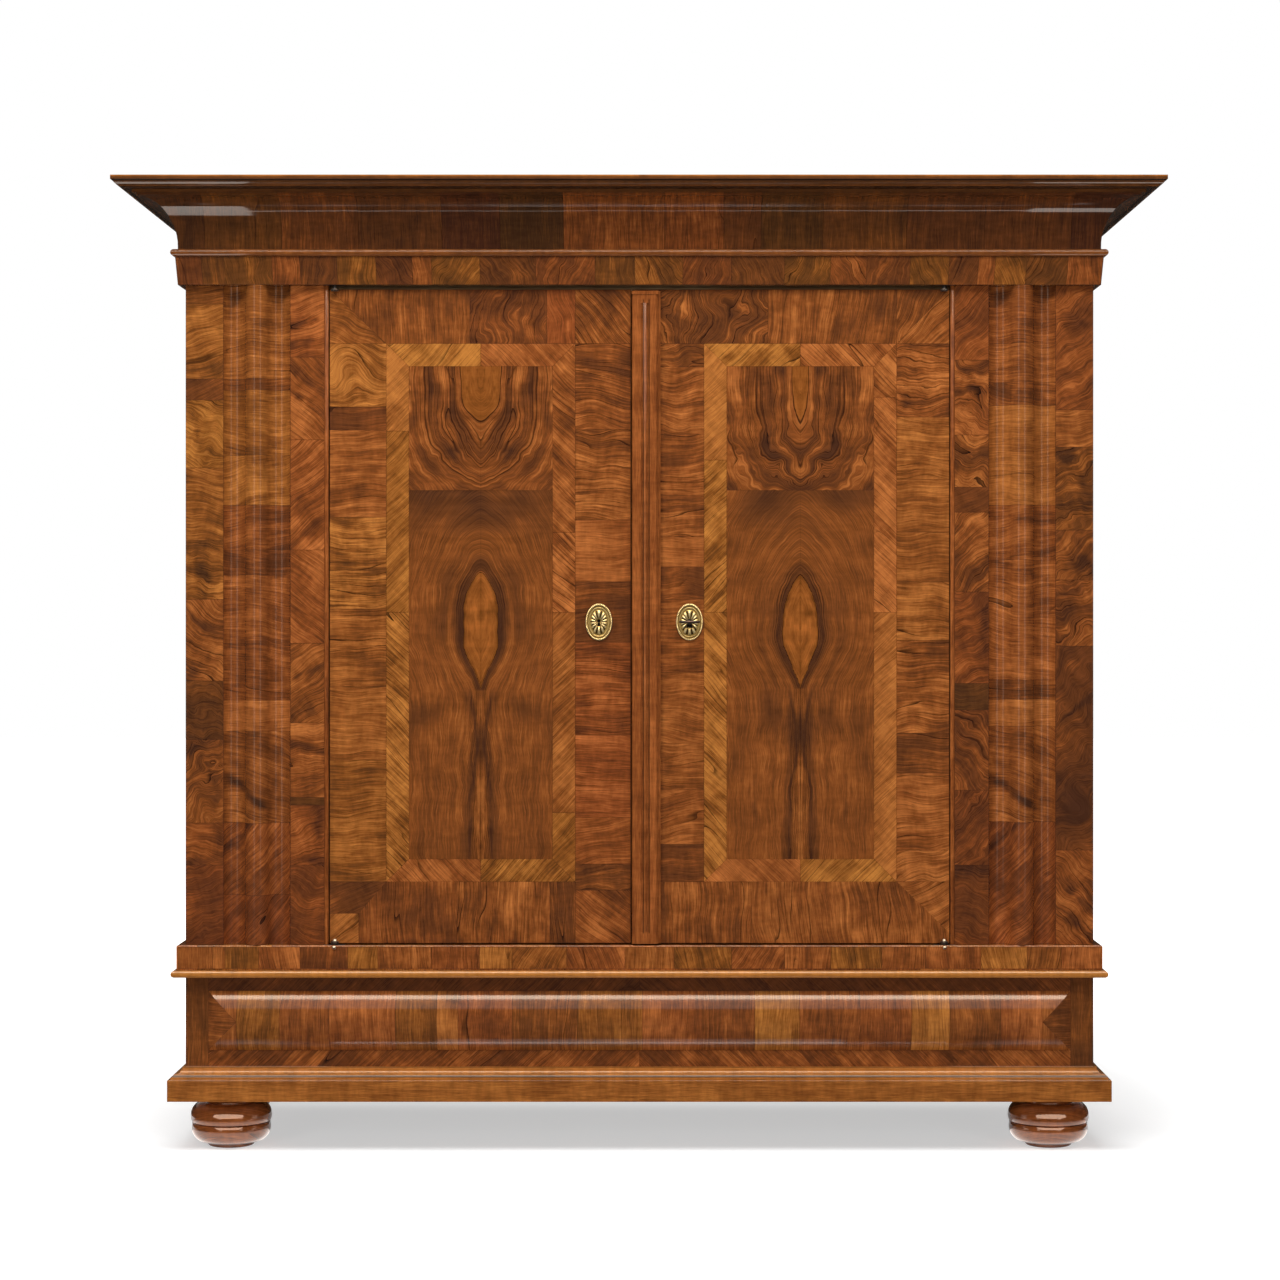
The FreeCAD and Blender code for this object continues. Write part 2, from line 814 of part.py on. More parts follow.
def door_core(side):
    """Framed softwood door with an upper and a lower field behind."""
    hinge_x, free_x = door_span(side)
    x0, x1 = sorted((hinge_x, free_x))
    core = block(x0, x1, face_y + veneer_thickness, door_back_y, door_z, door_top_z)
    if side < 0:
        bevel = plan_prism([(free_x, door_back_y - left_free_bevel),
                            (free_x, door_back_y),
                            (free_x - left_free_bevel, door_back_y)],
                           door_z, door_top_z)
        core = core.cut(bevel)
    middle_foot = keyhole_z - door_middle_rail / 2
    middle_head = keyhole_z + door_middle_rail / 2
    fields = ((door_z + door_rail, middle_foot), (middle_head, door_top_z - door_rail))
    for z0, z1 in fields:
        core = core.cut(panel_pocket(x0 + door_stile, x1 - door_stile, z0, z1))
    core = core.cut(strap_body(side, door_top_z - strap_thickness, door_top_z))
    core = core.cut(strap_body(side, door_z, door_z + strap_thickness))
    keyhole_x = left_keyhole_x if side < 0 else right_keyhole_x
    core = core.cut(escutcheon_pins(keyhole_x))
    if side > 0:
        core = core.cut(bar_y(right_keyhole_x, keyhole_z, face_y, door_back_y,
                              key_door_bore_radius))
    return core


def leaf(points):
    return front_prism(points, face_y, face_y + veneer_thickness)


def mitred_frame(outer, inner):
    """Four mitred bands between two rectangles (x0, x1, z0, z1)."""
    a0, a1, c0, c1 = outer
    b0, b1, d0, d1 = inner
    return [leaf([(a0, c0), (b0, d0), (b0, d1), (a0, c1)]),
            leaf([(a1, c0), (a1, c1), (b1, d1), (b1, d0)]),
            leaf([(a0, c1), (b0, d1), (b1, d1), (a1, c1)]),
            leaf([(a0, c0), (a1, c0), (b1, d0), (b0, d0)])]


def door_veneer(side):
    """Veneer skin: outer crossband, feather band and quartered centre."""
    hinge_x, free_x = door_span(side)
    bands = left_bands if side < 0 else right_bands
    outer_x = sorted((hinge_x, free_x))
    inner_x = sorted((hinge_x - side * bands["hinge"], free_x + side * bands["free"]))
    z0, z1 = door_z, door_top_z
    d0, d1 = z0 + band_bottom, z1 - band_top
    e0, e1 = d0 + feather_width, d1 - feather_width
    f0, f1 = inner_x[0] + feather_width, inner_x[1] - feather_width
    leaves = mitred_frame((outer_x[0], outer_x[1], z0, z1), (inner_x[0], inner_x[1], d0, d1))
    leaves += mitred_frame((inner_x[0], inner_x[1], d0, d1), (f0, f1, e0, e1))
    middle = (f0 + f1) / 2
    joint = door_z + centre_joint_height
    for x0, x1 in ((f0, middle), (middle, f1)):
        for c0, c1 in ((e0, joint), (joint, e1)):
            leaves.append(leaf([(x0, c0), (x1, c0), (x1, c1), (x0, c1)]))
    cutters = [strap_body(side, door_top_z - strap_thickness, door_top_z),
               strap_body(side, door_z, door_z + strap_thickness)]
    if side < 0:
        cutters.append(escutcheon_pins(left_keyhole_x))
    else:
        cutters.append(escutcheon_pins(right_keyhole_x))
        cutters.append(bar_y(right_keyhole_x, keyhole_z, face_y - overrun,
                             door_back_y, key_door_bore_radius))
    skin = []
    for piece in leaves:
        for cutter in cutters:
            piece = piece.cut(cutter)
        skin.extend(piece.Solids)
    return group(skin)


def strike():
    """Astragal with a lower side fillet, a stopped channel, a reed and a cap."""
    x0 = strike_left_edge
    x1 = x0 + strike_width
    x2 = x1 + strike_side_fillet
    z0 = door_z + strike_foot
    z1 = door_top_z - strike_head
    arris = strike_arris
    outline = [(x0, face_y), (x0, face_y - strike_out + arris),
               (x0 + arris, face_y - strike_out), (x1 - arris, face_y - strike_out),
               (x1, face_y - strike_out + arris), (x1, face_y - strike_side_out),
               (x2, face_y - strike_side_out), (x2, face_y)]
    moulding = plan_prism(outline, z0, z1)
    middle = (x0 + x1) / 2
    front = face_y - strike_out
    half = reed_channel_half_width
    channel = block(middle - half, middle + half, front - overrun,
                    front + reed_channel_depth, z0 + reed_stop, z1 - reed_stop)
    moulding = moulding.cut(channel)
    reed = post(middle, front + reed_channel_depth, z0 + reed_stop, z1 - reed_stop,
                reed_radius)
    back_half = block(middle - half, middle + half, front + reed_channel_depth,
                      front + reed_channel_depth + reed_radius, z0, z1)
    cap = block(x0 - strike_cap_out / 2, x1 + strike_cap_out, front - strike_cap_out,
                face_y - strike_side_out, z1 - strike_cap_height, z1)
    return moulding.fuse([reed.cut(back_half), cap]).removeSplitter()


# Locks and bolts

def ellipse_plate(x, z, half_width, half_height, y0, y1):
    """An upright oval plate between two depths."""
    oval = Part.Ellipse(vec(0, 0, 0), half_height, half_width).toShape()
    face = Part.Face(Part.Wire([oval]))
    plate = face.extrude(vec(0, 0, y1 - y0))
    plate.rotate(vec(0, 0, 0), vec(0, 0, 1), 90)
    plate.rotate(vec(0, 0, 0), vec(1, 0, 0), -90)
    plate.translate(vec(x, y0, z))
    return plate


def escutcheon_pins(x):
    """The two brass pins that hold an escutcheon, above and below."""
    reach = escutcheon_half_height - escutcheon_pin_inset
    pins = [bar_y(x, keyhole_z + turn * reach, face_y - escutcheon_plate,
                  face_y + escutcheon_pin_length, escutcheon_pin_radius)
            for turn in (-1, 1)]
    return pins[0].fuse(pins[1])


def escutcheon(x):
    """Oval cast plate with a rim, a raised boss, pins and a keyhole."""
    half_w, half_h = escutcheon_half_width, escutcheon_half_height
    back = face_y
    front = face_y - escutcheon_plate
    plate = ellipse_plate(x, keyhole_z, half_w, half_h, front, back)
    rim = ellipse_plate(x, keyhole_z, half_w, half_h, front - escutcheon_rim_height, front)
    hollow = ellipse_plate(x, keyhole_z, half_w - escutcheon_rim, half_h - escutcheon_rim,
                           front - escutcheon_rim_height - overrun, front)
    boss = ellipse_plate(x, keyhole_z, escutcheon_boss_half_width,
                         escutcheon_boss_half_height, front - escutcheon_boss_height, front)
    whole = plate.fuse([rim.cut(hollow), boss, escutcheon_pins(x)])
    hole = bar_y(x, keyhole_z, front - escutcheon_boss_height - overrun,
                 back, keyhole_radius)
    slot = block(x - keyhole_slot_half_width, x + keyhole_slot_half_width,
                 front - escutcheon_boss_height - overrun, back,
                 keyhole_z - keyhole_slot_length, keyhole_z)
    return whole.cut(hole.fuse(slot)).removeSplitter()


def lock_case():
    """Box lock: an iron case open towards the door, with the drill pin."""
    x0 = right_free_edge + lock_inset
    z0 = keyhole_z - lock_below_key
    z1 = keyhole_z + lock_above_key
    x1 = right_keyhole_x + lock_beyond_key
    y1 = door_back_y + lock_depth
    case = block(x0, x1, door_back_y, y1, z0, z1)
    hollow = block(x0 + lock_wall, x1 - lock_wall, door_back_y, y1 - lock_wall,
                   z0 + lock_wall, z1 - lock_wall)
    slot_z = keyhole_z + bolt_bottom_above_key
    slot = block(x0 - overrun, x0 + lock_wall, door_back_y + bolt_setback - bolt_gap,
                 door_back_y + bolt_setback + bolt_thickness + bolt_gap,
                 slot_z - bolt_gap, slot_z + bolt_height + bolt_gap)
    drill = bar_y(right_keyhole_x, keyhole_z, door_back_y, y1, drill_pin_radius)
    return case.cut(hollow.fuse(slot)).fuse(drill)


def lock_bolt():
    """Bolt bar with the talon notch that the key bit works in."""
    x0 = right_free_edge + lock_inset + bolt_gap
    z0 = keyhole_z + bolt_bottom_above_key
    x1 = right_keyhole_x + bolt_tail_beyond_key
    bar = block(x0, x1, door_back_y + bolt_setback,
                door_back_y + bolt_setback + bolt_thickness, z0, z0 + bolt_height)
    notch_x = right_keyhole_x + lock_throw / 2
    notch = block(notch_x - bolt_notch_half_width, notch_x + bolt_notch_half_width,
                  door_back_y, door_back_y + lock_depth, z0 - overrun,
                  z0 + bolt_notch_depth)
    return bar.cut(notch)


def bolt_keeper():
    """Box staple on the left-hand door that receives the lock bolt."""
    z0 = keyhole_z + bolt_bottom_above_key - bolt_gap
    z1 = z0 + bolt_height + 2 * bolt_gap
    y0 = door_back_y + bolt_setback - bolt_gap
    y1 = y0 + bolt_thickness + 2 * bolt_gap
    x1 = left_free_edge - keeper_inset
    x0 = x1 - keeper_length
    body = block(x0, x1, door_back_y, y1 + keeper_wall,
                 z0 - keeper_wall, z1 + keeper_wall)
    mouth = block(x0 + keeper_wall, x1 + overrun, y0, y1, z0, z1)
    return body.cut(mouth)


def key():
    """Pipe key: oval bow lying level, collar, hollow shank and bit."""
    x, z = right_keyhole_x, keyhole_z
    tip_y = door_back_y + bolt_setback + bolt_thickness
    collar_y = face_y - key_collar_out
    shank = bar_y(x, z, collar_y - key_collar_length, tip_y, key_shank_radius)
    collar = bar_y(x, z, collar_y - key_collar_length, collar_y, key_collar_radius)
    bow_y = collar_y - key_collar_length - key_bow_half_depth
    ring = Part.Ellipse(vec(x, bow_y, z), key_bow_half_width - key_bow_wire,
                        key_bow_half_depth - key_bow_wire).toShape()
    start = vec(x + key_bow_half_width - key_bow_wire, bow_y, z)
    section = Part.Wire([Part.Circle(start, vec(0, 1, 0), key_bow_wire).toShape()])
    bow = Part.Wire([ring]).makePipeShell([section], True, True)
    stem = bar_y(x, z, bow_y + key_bow_half_depth - 2 * key_bow_wire, collar_y,
                 key_bow_wire)
    bit = block(x, x + key_bit_radius, tip_y - key_bit_length, tip_y,
                z - key_bit_thickness / 2, z + key_bit_thickness / 2)
    whole = shank.fuse([collar, bow, stem, bit])
    bore = bar_y(x, z, door_back_y, tip_y + overrun, key_bore_radius)
    return whole.cut(bore)


def slide_bolt(upper):
    """Flat bolt rod with a round knob, withdrawn at rest."""
    x0 = slide_bolt_x - slide_bolt_half_width
    x1 = slide_bolt_x + slide_bolt_half_width
    y0 = door_back_y + slide_bolt_setback
    y1 = y0 + slide_bolt_thickness
    if upper:
        z1 = case_top_z - panel - slide_bolt_end_gap
        z0 = z1 - slide_bolt_length
    else:
        z0 = base_top_z + slide_bolt_end_gap
        z1 = z0 + slide_bolt_length
    rod = block(x0, x1, y0, y1, z0, z1)
    knob_z = (z0 + z1) / 2
    return rod.fuse(bar_y(slide_bolt_x, knob_z, y1, y1 + bolt_knob_out, bolt_knob_radius))


def bolt_guide(upper):
    """Plate with two bridges that the slide bolt runs under."""
    if upper:
        z1 = case_top_z - panel - slide_bolt_end_gap - guide_plate_inset
        z0 = z1 - guide_plate_length
    else:
        z0 = base_top_z + slide_bolt_end_gap + guide_plate_inset
        z1 = z0 + guide_plate_length
    x0 = slide_bolt_x - guide_plate_half_width
    x1 = slide_bolt_x + guide_plate_half_width
    plate = block(x0, x1, door_back_y, door_back_y + guide_plate_thickness, z0, z1)
    rod_front = door_back_y + slide_bolt_setback - guide_clearance
    rod_back = rod_front + slide_bolt_thickness + 2 * guide_clearance
    half = slide_bolt_half_width + guide_clearance
    bridges = []
    for foot in (z0, z1 - guide_length):
        bridge = block(slide_bolt_x - half - guide_wall, slide_bolt_x + half + guide_wall,
                       door_back_y, rod_back + guide_wall, foot, foot + guide_length)
        tunnel = block(slide_bolt_x - half, slide_bolt_x + half, rod_front, rod_back,
                       foot, foot + guide_length)
        bridges.append(bridge.cut(tunnel))
    return plate.fuse(bridges)


def build_nodes():
    """Every piece of the cupboard by its node name."""
    nodes = {}
    foot_x = case_half_width - foot_inset
    back_foot_x = case_half_width - back_foot_side_inset
    plinths = mitred_runs(plinth_section(), -plinth_inside, plinth_out,
                          plinth_z, moulding_z)
    friezes = frieze_runs()
    coves = mitred_runs(cove_section, -cornice_inside, cove_lip_out, cove_z, crown_z)
    for index, place in enumerate(("front", "left", "right")):
        nodes["plinth_" + place] = plinths[index]
        nodes["frieze_" + place] = friezes[index]
        nodes["cove_" + place] = coves[index]
    nodes["base_moulding"] = group(mitred_runs(
        base_moulding_section(), 0, base_moulding_out, moulding_z, cushion_ground_z))
    nodes["base_bead"] = group(mitred_runs(
        nose_section(0, base_bead_out, base_bead_z, base_frame_z),
        0, base_bead_out, base_bead_z, base_frame_z))
    nodes["base_frame"] = base_frame()
    nodes["base_front"] = base_front()
    nodes["base_back"] = base_back()
    nodes["base_cushion"] = cushion()
    nodes["floor_board"] = floor_board()
    nodes["foot_blocks"] = foot_blocks()
    nodes["back_boards"] = back_boards()
    nodes["head_board"] = head_board()
    nodes["shelf_lower"] = shelf(lower_shelf_height)
    nodes["shelf_upper"] = shelf(upper_shelf_height)
    nodes["shelf_bearers"] = shelf_bearers()
    nodes["cornice_bead"] = group(mitred_runs(
        nose_section(cornice_inside, cornice_bead_out, cornice_bead_z, cove_z),
        -cornice_inside, cornice_bead_out, cornice_bead_z, cove_z))
    nodes["cornice_crown"] = group(mitred_runs(
        crown_section(), crown_inside_out, crown_out, crown_z, top_z))
    nodes["cornice_top"] = top_board()
    nodes["cornice_back"] = cornice_back()
    nodes["jamb_beads"] = group([jamb_bead(-1), jamb_bead(1)])
    nodes["pivot_sockets"] = group([socket_plate(side, seat, direction)
                                    for side in (-1, 1)
                                    for seat, direction in ((case_top_z, 1),
                                                            (base_top_z, -1))])
    for side, name in ((-1, "left"), (1, "right")):
        nodes["foot_front_" + name] = bun_foot(side * foot_x)
        nodes["foot_back_" + name] = sawn_foot(side * back_foot_x)
        nodes["base_side_" + name] = base_side(side)
        nodes["side_wall_" + name] = side_wall(side)
        nodes["post_" + name] = upright(side, post_inner_edge, case_half_width - panel,
                                        core_y, post_back_y)
        nodes["outer_strip_" + name] = upright(side, outer_strip_edge, case_half_width,
                                               face_y, core_y)
        nodes["inner_strip_" + name] = upright(side, post_inner_edge, inner_strip_edge,
                                               face_y, core_y)
        nodes["pilaster_" + name] = pilaster(side)
        nodes["door_" + name] = door_core(side)
        nodes["door_veneer_" + name] = door_veneer(side)
        nodes["hinge_straps_" + name] = group([hinge_strap(side, True),
                                               hinge_strap(side, False)])
    nodes["strike_moulding"] = strike()
    nodes["escutcheon_left"] = escutcheon(left_keyhole_x)
    nodes["escutcheon_right"] = escutcheon(right_keyhole_x)
    nodes["lock_case"] = lock_case()
    nodes["lock_bolt"] = lock_bolt()
    nodes["bolt_keeper"] = bolt_keeper()
    nodes["key"] = key()
    nodes["slide_bolt_upper"] = slide_bolt(True)
    nodes["slide_bolt_lower"] = slide_bolt(False)
    nodes["slide_bolt_guides"] = group([bolt_guide(True), bolt_guide(False)])
    return nodes


os.makedirs("parts", exist_ok=True)
for name, shape in build_nodes().items():
    shape.exportStep("parts/" + name + ".step")
    print(name, len(shape.Solids), "solids", round(shape.Volume), "mm3", shape.isValid())
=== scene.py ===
import math

import bpy
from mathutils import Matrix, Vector, noise


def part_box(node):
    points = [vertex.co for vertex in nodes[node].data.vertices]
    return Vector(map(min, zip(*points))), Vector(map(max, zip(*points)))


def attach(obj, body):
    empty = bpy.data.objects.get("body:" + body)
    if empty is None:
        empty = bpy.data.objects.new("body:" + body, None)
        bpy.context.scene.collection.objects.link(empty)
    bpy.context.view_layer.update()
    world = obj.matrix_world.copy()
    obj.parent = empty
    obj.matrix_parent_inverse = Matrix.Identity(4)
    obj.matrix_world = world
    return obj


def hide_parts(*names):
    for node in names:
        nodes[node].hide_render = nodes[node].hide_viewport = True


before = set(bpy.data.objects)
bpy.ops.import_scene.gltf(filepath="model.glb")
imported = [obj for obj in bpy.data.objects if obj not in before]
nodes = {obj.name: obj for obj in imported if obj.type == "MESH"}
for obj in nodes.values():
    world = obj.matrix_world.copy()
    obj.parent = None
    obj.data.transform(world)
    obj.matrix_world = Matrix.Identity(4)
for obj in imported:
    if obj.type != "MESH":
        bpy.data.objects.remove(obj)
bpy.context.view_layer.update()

# The studio: a pale floor that shows white but keeps the cupboard's shadow, soft
# lamps, and a dark surround that only gloss sees, as black flags stand round
# polished furniture so that its front keeps its depth.
scene = bpy.context.scene
scene.view_settings.view_transform = "Standard"


def put(name, data):
    piece = bpy.data.objects.new(name, data)
    scene.collection.objects.link(piece)
    return piece


def mesh_from(name, points, faces, smooth=True):
    mesh = bpy.data.meshes.new(name)
    mesh.from_pydata(points, [], faces)
    mesh.update()
    mesh.polygons.foreach_set("use_smooth", [smooth] * len(mesh.polygons))
    if smooth:
        mesh.set_sharp_from_angle(angle=math.radians(40))
    return put(name, mesh)


def four(left, right, low, high):
    """A rectangle's corners, from the lower left, anticlockwise."""
    return [(left, low), (right, low), (right, high), (left, high)]


class Signal:
    """What a shader node puts out, which stands in a sum as a number does."""

    def __init__(self, socket):
        self.socket = socket

    def __add__(self, other):
        return calc("ADD", self, other)

    def __sub__(self, other):
        return calc("SUBTRACT", self, other)

    def __rsub__(self, other):
        return calc("SUBTRACT", other, self)

    def __mul__(self, other):
        return calc("MULTIPLY", self, other)

    def __truediv__(self, other):
        return calc("DIVIDE", self, other)

    def __abs__(self):
        return calc("ABSOLUTE", self)


def feed(socket, value):
    if isinstance(value, Signal):
        socket.id_data.links.new(value.socket, socket)
    else:
        socket.default_value = value


def send(node, **values):
    """Feeds a node's inputs by name."""
    for name, value in values.items():
        feed(node.inputs[name], value)


def out(node, name=0):
    return Signal(node.outputs[name])


def node_of(tree, kind, *values, **settings):
    """A shader node with its settings, and its first inputs fed in order."""
    made = tree.nodes.new("ShaderNode" + kind)
    for key, value in settings.items():
        setattr(made, key, value)
    for socket, value in zip(made.inputs, values):
        feed(socket, value)
    return made


def beside(values, kind, *fed, **settings):
    """A shader node in the tree that the signals among values are in."""
    signal = next(value for value in values if isinstance(value, Signal))
    return node_of(signal.socket.id_data, kind, *fed, **settings)


def calc(operation, *values, clamp=False):
    return out(beside(values, "Math", *values, operation=operation, use_clamp=clamp))


def span(value, low, high, out_low=0.0, out_high=1.0, smooth=False):
    way = "SMOOTHSTEP" if smooth else "LINEAR"
    return out(beside([value], "MapRange", value, low, high, out_low, out_high,
                      interpolation_type=way))


def parts_of(vector):
    return [Signal(socket) for socket in beside([vector], "SeparateXYZ", vector).outputs]


def new_material(name):
    material = bpy.data.materials.new(name)
    material.use_nodes = True
    material.node_tree.nodes.clear()
    return material


def where(material):
    """The place on the piece."""
    return out(node_of(material.node_tree, "TexCoord"), "Object")


def show(tree, shader, kind="OutputMaterial"):
    send(node_of(tree, kind), Surface=out(shader))


floor = mesh_from("studio_floor", [(x, y, 0) for x, y in four(-20.0, 20.0, -20.0, 20.0)],
                  [(0, 1, 2, 3)])
material = new_material("pale_floor")
tree = material.node_tree
seen = node_of(tree, "LightPath")
to_camera, to_gloss = out(seen, "Is Camera Ray"), out(seen, "Is Glossy Ray")
paper = node_of(tree, "BsdfDiffuse", (0.64, 0.64, 0.64, 1))
wide = node_of(tree, "VectorMath", where(material), (1.5, 1.0, 1.0), operation="MULTIPLY")
reach = node_of(tree, "VectorMath", out(wide), operation="LENGTH")
far = span(out(reach, "Value"), 1.5, 2.6, 0.0, 1.0, True)
white = node_of(tree, "Emission", (1, 1, 1, 1),
                span(to_camera, 0, 1, 0.25, 0.50) * (1.0 - far) + far)
dark = node_of(tree, "Emission", (1, 1, 1, 1), 0.0)
lifted = node_of(tree, "MixShader", calc("MAXIMUM", to_camera, to_gloss), out(dark), out(white))
show(tree, node_of(tree, "AddShader", out(paper), out(lifted)))
floor.data.materials.append(material)


def card(name, points, faces, colour, strength, clear_back=0.0, fade=None, clear_near=None):
    """A flag or a lit card that only the polish reflects. fade gives the point (x, y)
    round which it is lit and the distances over which it goes dark; clear_near the
    distances from the polish below which it isn't seen."""
    made = mesh_from(name, points, faces, False)
    material = new_material(name)
    tree = material.node_tree
    on_card = node_of(tree, "NewGeometry")
    clear = out(on_card, "Backfacing") * clear_back
    if fade:
        x, y, near, far = fade
        at_x, at_y, _ = parts_of(out(on_card, "Position"))
        off_x, off_y = abs(at_x) - x, at_y - y
        away = calc("SQRT", off_x * off_x + off_y * off_y)
        strength = span(away, near, far, strength, 0.03, True)
    if clear_near:
        length = out(node_of(tree, "LightPath"), "Ray Length")
        clear = calc("MAXIMUM", clear, span(length, *clear_near, 1.0, 0.0, True))
    glow = node_of(tree, "Emission", (*colour, 1), strength)
    show(tree, node_of(tree, "MixShader", clear, out(glow),
                       out(node_of(tree, "BsdfTransparent"))))
    made.data.materials.append(material)
    for ray in ("camera", "diffuse", "shadow", "transmission", "volume_scatter"):
        setattr(made, "visible_" + ray, False)


def square_card(name, centre, aim, wide, tall, colour, strength):
    turn = (Vector(aim) - Vector(centre)).to_track_quat("-Z", "Y")
    points = [Vector(centre) + turn @ Vector((x * wide / 2, y * tall / 2, 0))
              for x, y in four(-1, 1, -1, 1)]
    card(name, points, [(0, 1, 2, 3)], colour, strength)


black = (0.030, 0.026, 0.022)
flag_radius, flag_foot, flag_head, flag_count = 9.5, 0.012, 5.2, 48
ring = [(flag_radius * math.cos(math.tau * k / flag_count),
         flag_radius * math.sin(math.tau * k / flag_count)) for k in range(flag_count)]
card("flag_round", [(x, y, z) for z in (flag_foot, flag_head) for x, y in ring],
     [(k, (k + 1) % flag_count, flag_count + (k + 1) % flag_count, flag_count + k)
      for k in range(flag_count)], black, 1.0)
flag_x, flag_front, flag_back, flag_edge = 1.22, -0.42, 0.62, 9.6
card("flag_floor", [(x, y, 0.01) for x, y in four(-flag_edge, flag_edge, -flag_edge, flag_edge)
                    + four(-flag_x, flag_x, flag_front, flag_back)],
     [(0, 1, 5, 4), (1, 2, 6, 5), (2, 3, 7, 6), (3, 0, 4, 7)], black, 1.0)
warm_white, foot_white, toe_height = (1.0, 0.86, 0.68), (1.0, 0.90, 0.84), 0.012
square_card("card_overhead", (0.0, -2.1, 4.5), (0.0, -0.3, 0.6), 6.4, 1.9, warm_white, 11.0)
square_card("card_left", (-3.0, -5.5, 1.75), (0.0, -0.3, 1.1), 0.9, 3.4, warm_white, 1.7)
square_card("card_right", (3.1, -5.5, 1.75), (0.0, -0.3, 1.1), 0.9, 3.4, warm_white, 1.5)
strip_x = (-1.40, -0.925, -0.912, -0.50, 0.0, 0.5, 0.90, 0.915, 1.40)
strip_half = (0.230, 0.230, 0.012, 0.007, 0.005, 0.008, 0.011, 0.110, 0.110)
card("card_under_cove", [(x, -0.572 + way * half, 1.2) for way in (-1, 1)
                         for x, half in zip(strip_x, strip_half)],
     [(k, k + 1, k + 10, k + 9) for k in range(8)], (1.0, 0.93, 0.85), 4.0, 1.0,
     clear_near=(0.58, 0.66))
foot_x, foot_y = 0.857, -0.1775
for place, x in (("left", -foot_x), ("right", foot_x)):
    card("card_toe_" + place,
         [(a, y, toe_height) for a, y in four(x - 0.42, x + 0.42, -0.56, -0.12)],
         [(0, 1, 2, 3)], foot_white, 1.5, 0.0, (foot_x, foot_y, 0.12, 0.27))
    card("card_before_foot_" + place,
         [(x + side * wide, y, z) for y, z, wide in ((-0.38, 0.205, 0.16), (-0.55, 0.183, 0.32),
                                                     (-0.85, 0.145, 0.34)) for side in (-1, 1)],
         [(0, 1, 3, 2), (2, 3, 5, 4)], (1.0, 0.84, 0.66), 4.0, 1.0)
card("card_toe", [(x, y, toe_height) for x, y in four(-0.66, 0.66, -0.366, -0.342)],
     [(0, 1, 2, 3)], foot_white, 4.0)


def lamp(name, place, aim, width, height, watts):
    data = bpy.data.lights.new(name, "AREA")
    data.shape = "RECTANGLE"
    data.size = width
    data.size_y = height
    data.energy = watts
    made = put(name, data)
    made.location = place
    made.rotation_euler = (Vector(aim) - Vector(place)).to_track_quat("-Z", "Y").to_euler()
    made.visible_glossy = False


lamp("key_above", (-0.5, -2.7, 4.8), (0.0, -0.3, 1.1), 4.4, 2.0, 262)
lamp("fill_left", (-2.9, -5.6, 1.5), (0.0, -0.3, 0.9), 2.2, 2.2, 60)
lamp("fill_right", (3.1, -5.6, 1.3), (0.0, -0.3, 0.9), 2.2, 2.2, 52)
lamp("behind", (0.0, 3.8, 3.2), (0.0, 0.3, 1.0), 3.0, 2.0, 60)

world = bpy.data.worlds.new("studio")
world.use_nodes = True
scene.world = world
tree = world.node_tree
tree.nodes.clear()
seen = node_of(tree, "LightPath")
shown = calc("MAXIMUM", out(seen, "Is Camera Ray"), out(seen, "Is Glossy Ray"))
shown = calc("MAXIMUM", shown, out(seen, "Is Transmission Ray"))
show(tree, node_of(tree, "Background", (1, 1, 1, 1), span(shown, 0, 1, 0.21, 1.0)),
     "OutputWorld")

camera_data = bpy.data.cameras.new("view")
camera_data.sensor_width = 36.0
camera_data.lens = 78.83
camera_data.shift_x = -0.0166
camera_data.shift_y = -0.0156
camera_data.clip_end = 60.0
camera = put("view", camera_data)
camera.location = (0.045, -6.0595, 1.099)
camera.rotation_euler = (math.radians(90), 0, 0)
scene.camera = camera


# Front feet: turned in dark-stained walnut as two ring-shaped buns with a deep
# groove between them, a round pad below, and a tenon up into the corner block.
def arc_points(start, end, bulge, count):
    """Points along an arc from start to end; a negative bulge turns it to the right."""
    (x0, y0), (x1, y1) = start, end
    dx, dy = x1 - x0, y1 - y0
    chord = math.hypot(dx, dy)
    rise = bulge * chord
    radius = (chord * chord / 4 + rise * rise) / (2 * rise)
    cx = (x0 + x1) / 2 - dy / chord * (rise - radius)
    cy = (y0 + y1) / 2 + dx / chord * (rise - radius)
    first = math.atan2(y0 - cy, x0 - cx)
    sweep = math.atan2(y1 - cy, x1 - cx) - first
    while bulge > 0 and sweep > 0:
        sweep -= math.tau
    while bulge < 0 and sweep < 0:
        sweep += math.tau
    reach = abs(radius)
    return [(cx + reach * math.cos(first + sweep * k / count),
             cy + reach * math.sin(first + sweep * k / count)) for k in range(count + 1)]


def turned(name, profile, centre, count=128):
    """A closed turned piece from (radius, height) points; both ends are on the axis."""
    points = [(centre[0], centre[1], profile[0][1])]
    inner = profile[1:-1]
    for radius, z in inner:
        for k in range(count):
            angle = math.tau * k / count
            points.append((centre[0] + radius * math.cos(angle),
                           centre[1] + radius * math.sin(angle), z))
    points.append((centre[0], centre[1], profile[-1][1]))
    last = len(points) - 1
    faces = [(0, 1 + (k + 1) % count, 1 + k) for k in range(count)]
    for row in range(len(inner) - 1):
        a = 1 + row * count
        b = a + count
        faces += [(a + k, a + (k + 1) % count, b + (k + 1) % count, b + k)
                  for k in range(count)]
    top = 1 + (len(inner) - 1) * count
    faces += [(last, top + k, top + (k + 1) % count) for k in range(count)]
    return mesh_from(name, points, faces)


